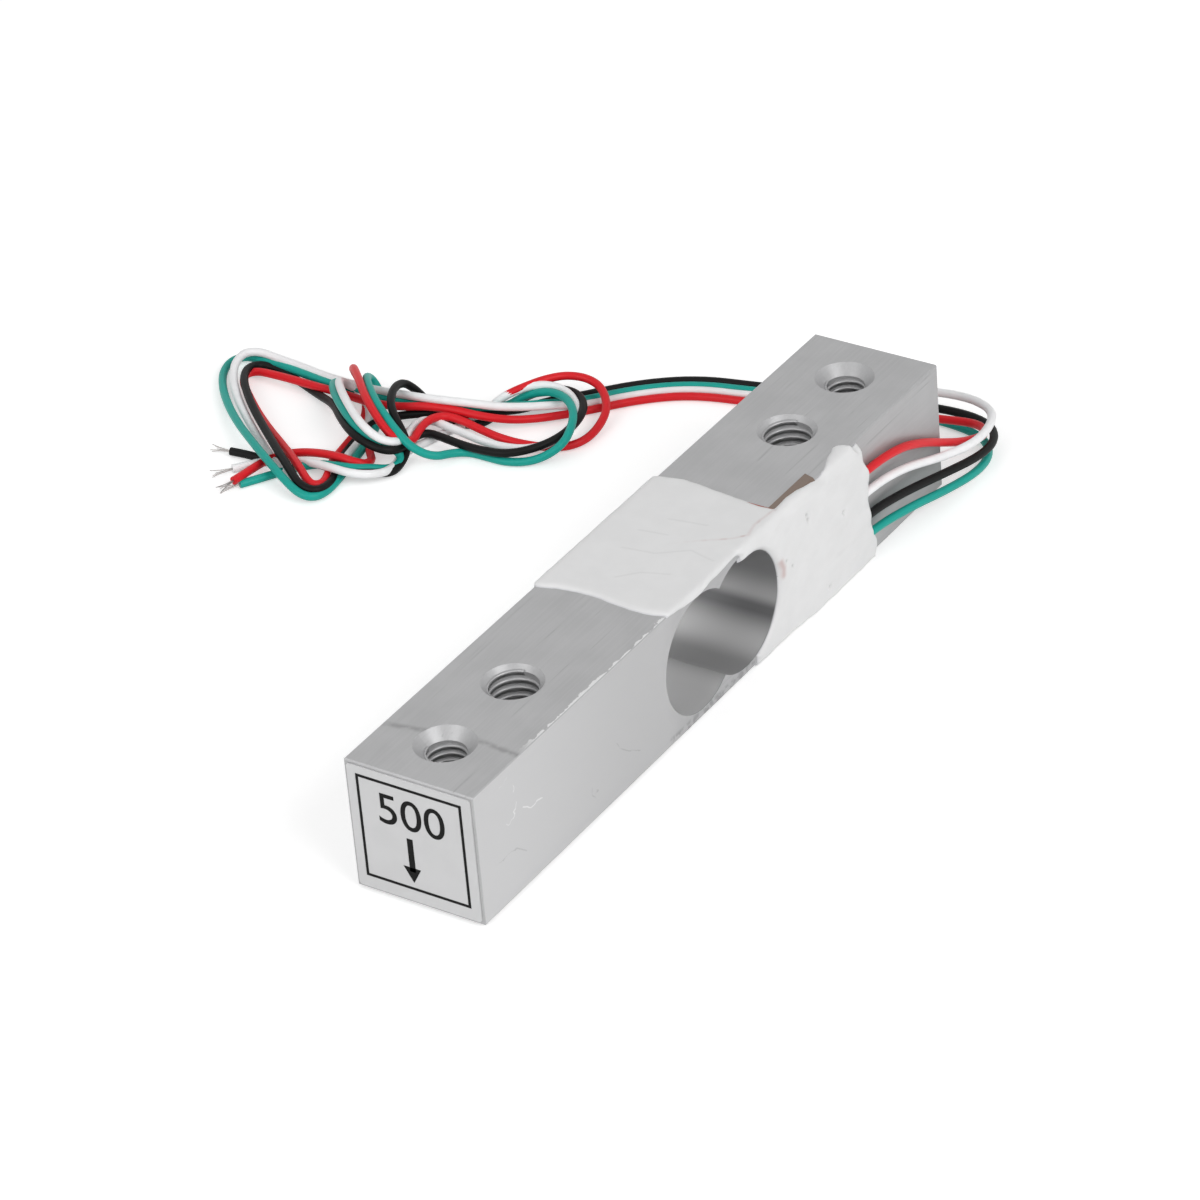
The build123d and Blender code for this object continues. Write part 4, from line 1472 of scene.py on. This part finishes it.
        # A dict, because it keeps the order in which the edges come
        edges = dict.fromkeys(pair for quad in quads.tolist() for pair in zip(quad, quad[1:] + quad[:1]))
        walls = [(a, a + count, b + count, b) for a, b in edges if (b, a) not in edges]
        faces = [tuple(q) for q in quads.tolist()]
        faces += [tuple(v + count for v in reversed(q)) for q in quads.tolist()]
        faces += walls
        points = np.concatenate([outer, inner])
        used = np.unique(np.array([v for face in faces for v in face]))
        renumber = np.full(2 * count, -1)
        renumber[used] = np.arange(len(used))
        kept_faces = [[int(renumber[v]) for v in face] for face in faces]
        if self.below:
            kept_faces = [face[::-1] for face in kept_faces]
        mesh = build_mesh(self.name, points[used], kept_faces, finish)
        for label, numbers in shades.items():
            layer = mesh.attributes.new(label, "FLOAT", "POINT")
            flat = np.tile(numbers.reshape(-1), 2)
            layer.data.foreach_set("value", flat[used].astype(np.float32))
        return add_piece(self.name, mesh, self.replaced)


@dataclass(frozen=True)
class TerminalFilm:
    """Brown terminal film, bent round the bar's edges under the silicone."""

    leg: float = 1.15
    thickness: float = 0.08
    start: float = 9.4
    end: float = 16.0
    slant: float = 0.35
    bend: float = 0.25
    bend_steps: int = 6
    under: float = 0.005

    def _profile(self, lift: float) -> list[Pair]:
        """The film's line round the bar.

        Args:
            lift: Height over the metal.

        Returns:
            Places across the bar, as (x, z).
        """
        turned = []
        for centre_z, sign in ((BAR_TOP - self.bend, 1.0), (BAR_BOTTOM + self.bend, -1.0)):
            arc = []
            for step in range(self.bend_steps + 1):
                angle = math.pi / 2 * (1 - step / self.bend_steps)
                reach = self.bend + lift
                x = HALF_WIDTH - self.bend + reach * math.cos(angle)
                arc.append((x, centre_z + sign * reach * math.sin(angle)))
            turned += arc if sign > 0 else arc[::-1]
        first = (HALF_WIDTH - self.leg, BAR_TOP + lift)
        last = (HALF_WIDTH - self.leg, BAR_BOTTOM - lift)
        return [first] + turned + [last]

    def build(self, finish: bpy.types.Material) -> None:
        """Makes the film.

        Args:
            finish: Its material.
        """
        ring = self._profile(self.thickness) + self._profile(self.under)[::-1]
        n = len(ring)
        corners = []
        for share in (0.0, 1.0):
            for x, z in ring:
                inward = (HALF_WIDTH - x) / self.leg
                y = self.start + share * (self.end - self.start + self.slant * max(inward, 0.0))
                corners.append((x, y, z))
        half = n // 2
        faces = []
        for i in range(n):
            j = (i + 1) % n
            faces.append((i, n + i, n + j, j))
        for i in range(half - 1):
            a, b, c, d = i, i + 1, n - 2 - i, n - 1 - i
            faces.append((a, b, c, d))
            faces.append((n + d, n + c, n + b, n + a))
        mesh = build_mesh("terminal_film", np.array(corners), faces, finish)
        mesh.shade_flat()
        add_piece("terminal_film", mesh, ["terminal_flex"])


@dataclass
class EndLabel:
    """Print on the end label: a thin frame, a plain number and a load arrow."""

    frame_box: tuple[float, float, float, float] = (-5.2, 1.75, 5.15, 11.95)
    line: float = 0.26
    raised: float = 0.02
    film: float = 0.1
    sunk: float = 0.01
    number: str = "500"
    number_box: tuple[float, float, float, float] = (-3.2, 7.75, 3.3, 10.75)
    shaft: tuple[float, float, float, float] = (-0.68, 3.6, -0.10, 6.9)
    head: list[Pair] = field(default_factory=lambda: [(-1.30, 4.0), (-0.39, 2.5), (0.42, 4.0)])

    def build(self, finish: bpy.types.Material) -> None:
        """Makes the print.

        Args:
            finish: The ink.
        """
        corners: list[Point] = []
        faces: list[tuple[int, ...]] = []
        x0, z0, x1, z1 = self.frame_box
        w = self.line
        bars = [
            (x0, z0, x1, z0 + w),
            (x0, z1 - w, x1, z1),
            (x0, z0 + w, x0 + w, z1 - w),
            (x1 - w, z0 + w, x1, z1 - w),
            self.shaft,
        ]
        outlines = [[(a, b), (c, b), (c, d), (a, d)] for a, b, c, d in bars] + [self.head]
        back = -HALF_LENGTH - self.film + self.sunk
        front = -HALF_LENGTH - self.film - self.raised
        for outline in outlines:
            start = len(corners)
            n = len(outline)
            corners += [(x, front, z) for x, z in outline] + [(x, back, z) for x, z in outline]
            turn = self._signed_area(outline)
            rim = list(range(n)) if turn > 0 else list(range(n))[::-1]
            faces.append(tuple(start + i for i in rim))
            faces.append(tuple(start + n + i for i in reversed(rim)))
            for a, b in zip(rim, rim[1:] + rim[:1]):
                faces.append((start + a, start + n + a, start + n + b, start + b))
        mesh = build_mesh("label_print", np.array(corners), faces, finish)
        mesh.shade_flat()
        add_piece("label_print", mesh)
        self._number(finish, front)

    @staticmethod
    def _signed_area(outline: Sequence[Pair]) -> float:
        """Twice the outline's area, positive if it turns left."""
        pairs = zip(outline, list(outline[1:]) + [outline[0]])
        return sum(a[0] * b[1] - b[0] * a[1] for a, b in pairs)

    def _number(self, finish: bpy.types.Material, front: float) -> None:
        """Sets the number into its box as a thin mesh.

        Args:
            finish: The ink.
            front: Place of the print's face along the bar.
        """
        text = bpy.data.curves.new("label_number", "FONT")
        text.body = self.number
        text.extrude = 0.01
        holder = bpy.data.objects.new("label_number_holder", text)
        bpy.context.scene.collection.objects.link(holder)
        graph = bpy.context.evaluated_depsgraph_get()
        mesh = bpy.data.meshes.new_from_object(holder.evaluated_get(graph))
        bpy.data.objects.remove(holder)
        xs = [v.co.x for v in mesh.vertices]
        ys = [v.co.y for v in mesh.vertices]
        x0, z0, x1, z1 = self.number_box
        across = (x1 - x0) / (max(xs) - min(xs))
        tall = (z1 - z0) / (max(ys) - min(ys))
        for v in mesh.vertices:
            x = x0 + (v.co.x - min(xs)) * across
            z = z0 + (v.co.y - min(ys)) * tall
            y = front if v.co.z > 0 else -HALF_LENGTH - self.film + self.sunk
            v.co = (x * MM, y * MM, z * MM)
        mesh.materials.clear()
        mesh.materials.append(finish)
        mesh.name = "label_number"
        add_piece("label_number", mesh)


LEADS = [
    Lead("red", LEAD_HEIGHTS[0], RED_ROUTE, RED_HANK, RED_TAIL),
    Lead("white", LEAD_HEIGHTS[1], WHITE_ROUTE, WHITE_HANK, WHITE_TAIL),
    Lead("black", LEAD_HEIGHTS[2], BLACK_ROUTE, BLACK_HANK, BLACK_TAIL),
    Lead("green", LEAD_HEIGHTS[3], GREEN_ROUTE, GREEN_HANK, GREEN_TAIL),
]
HOLES = [
    TappedHole("front_outer_thread", -32.0, 1.77, 0.7, 0.93),
    TappedHole("front_inner_thread", -22.0, 2.24, 0.8, 0.46),
    TappedHole("rear_inner_thread", 22.0, 2.24, 0.8, 0.46),
    TappedHole("rear_outer_thread", 32.0, 1.77, 0.7, 0.93),
]


def dress_solids(finishes: dict[str, bpy.types.Material]) -> None:
    """Gives each solid of the model its finish.

    Args:
        finishes: Materials by slot name.
    """
    for entry in frame["record"]["subparts"]:
        finish = finishes.get(entry["material_slot"])
        if finish is None:
            continue
        mesh = frame["nodes"][entry["node"]].data
        mesh.materials.clear()
        mesh.materials.append(finish)


def main() -> None:
    """Builds the camera, the studio, the finishes, the leads and the rest, in that order."""
    logging.basicConfig(level=logging.INFO, format="%(message)s")
    PhotoCamera().build()
    Studio().build()
    finishes = Finishes().build()
    dress_solids(finishes)
    strands = strand_tree(finishes["tinned_copper"])
    for lead in LEADS:
        lead.build(finishes, strands)
    ridges = thread_tree(finishes["milled_aluminium"])
    for hole in HOLES:
        hole.build(ridges)
    SiliconeSkin("silicone_skin", ["top_coat", "side_coat"]).build(finishes["silicone_coat"])
    SiliconeSkin("silicone_underside", ["bottom_coat"], below=True).build(finishes["silicone_coat"])
    TerminalFilm().build(finishes["flex_film"])
    EndLabel().build(finishes["label_ink"])


if __name__ == "__main__":
    main()
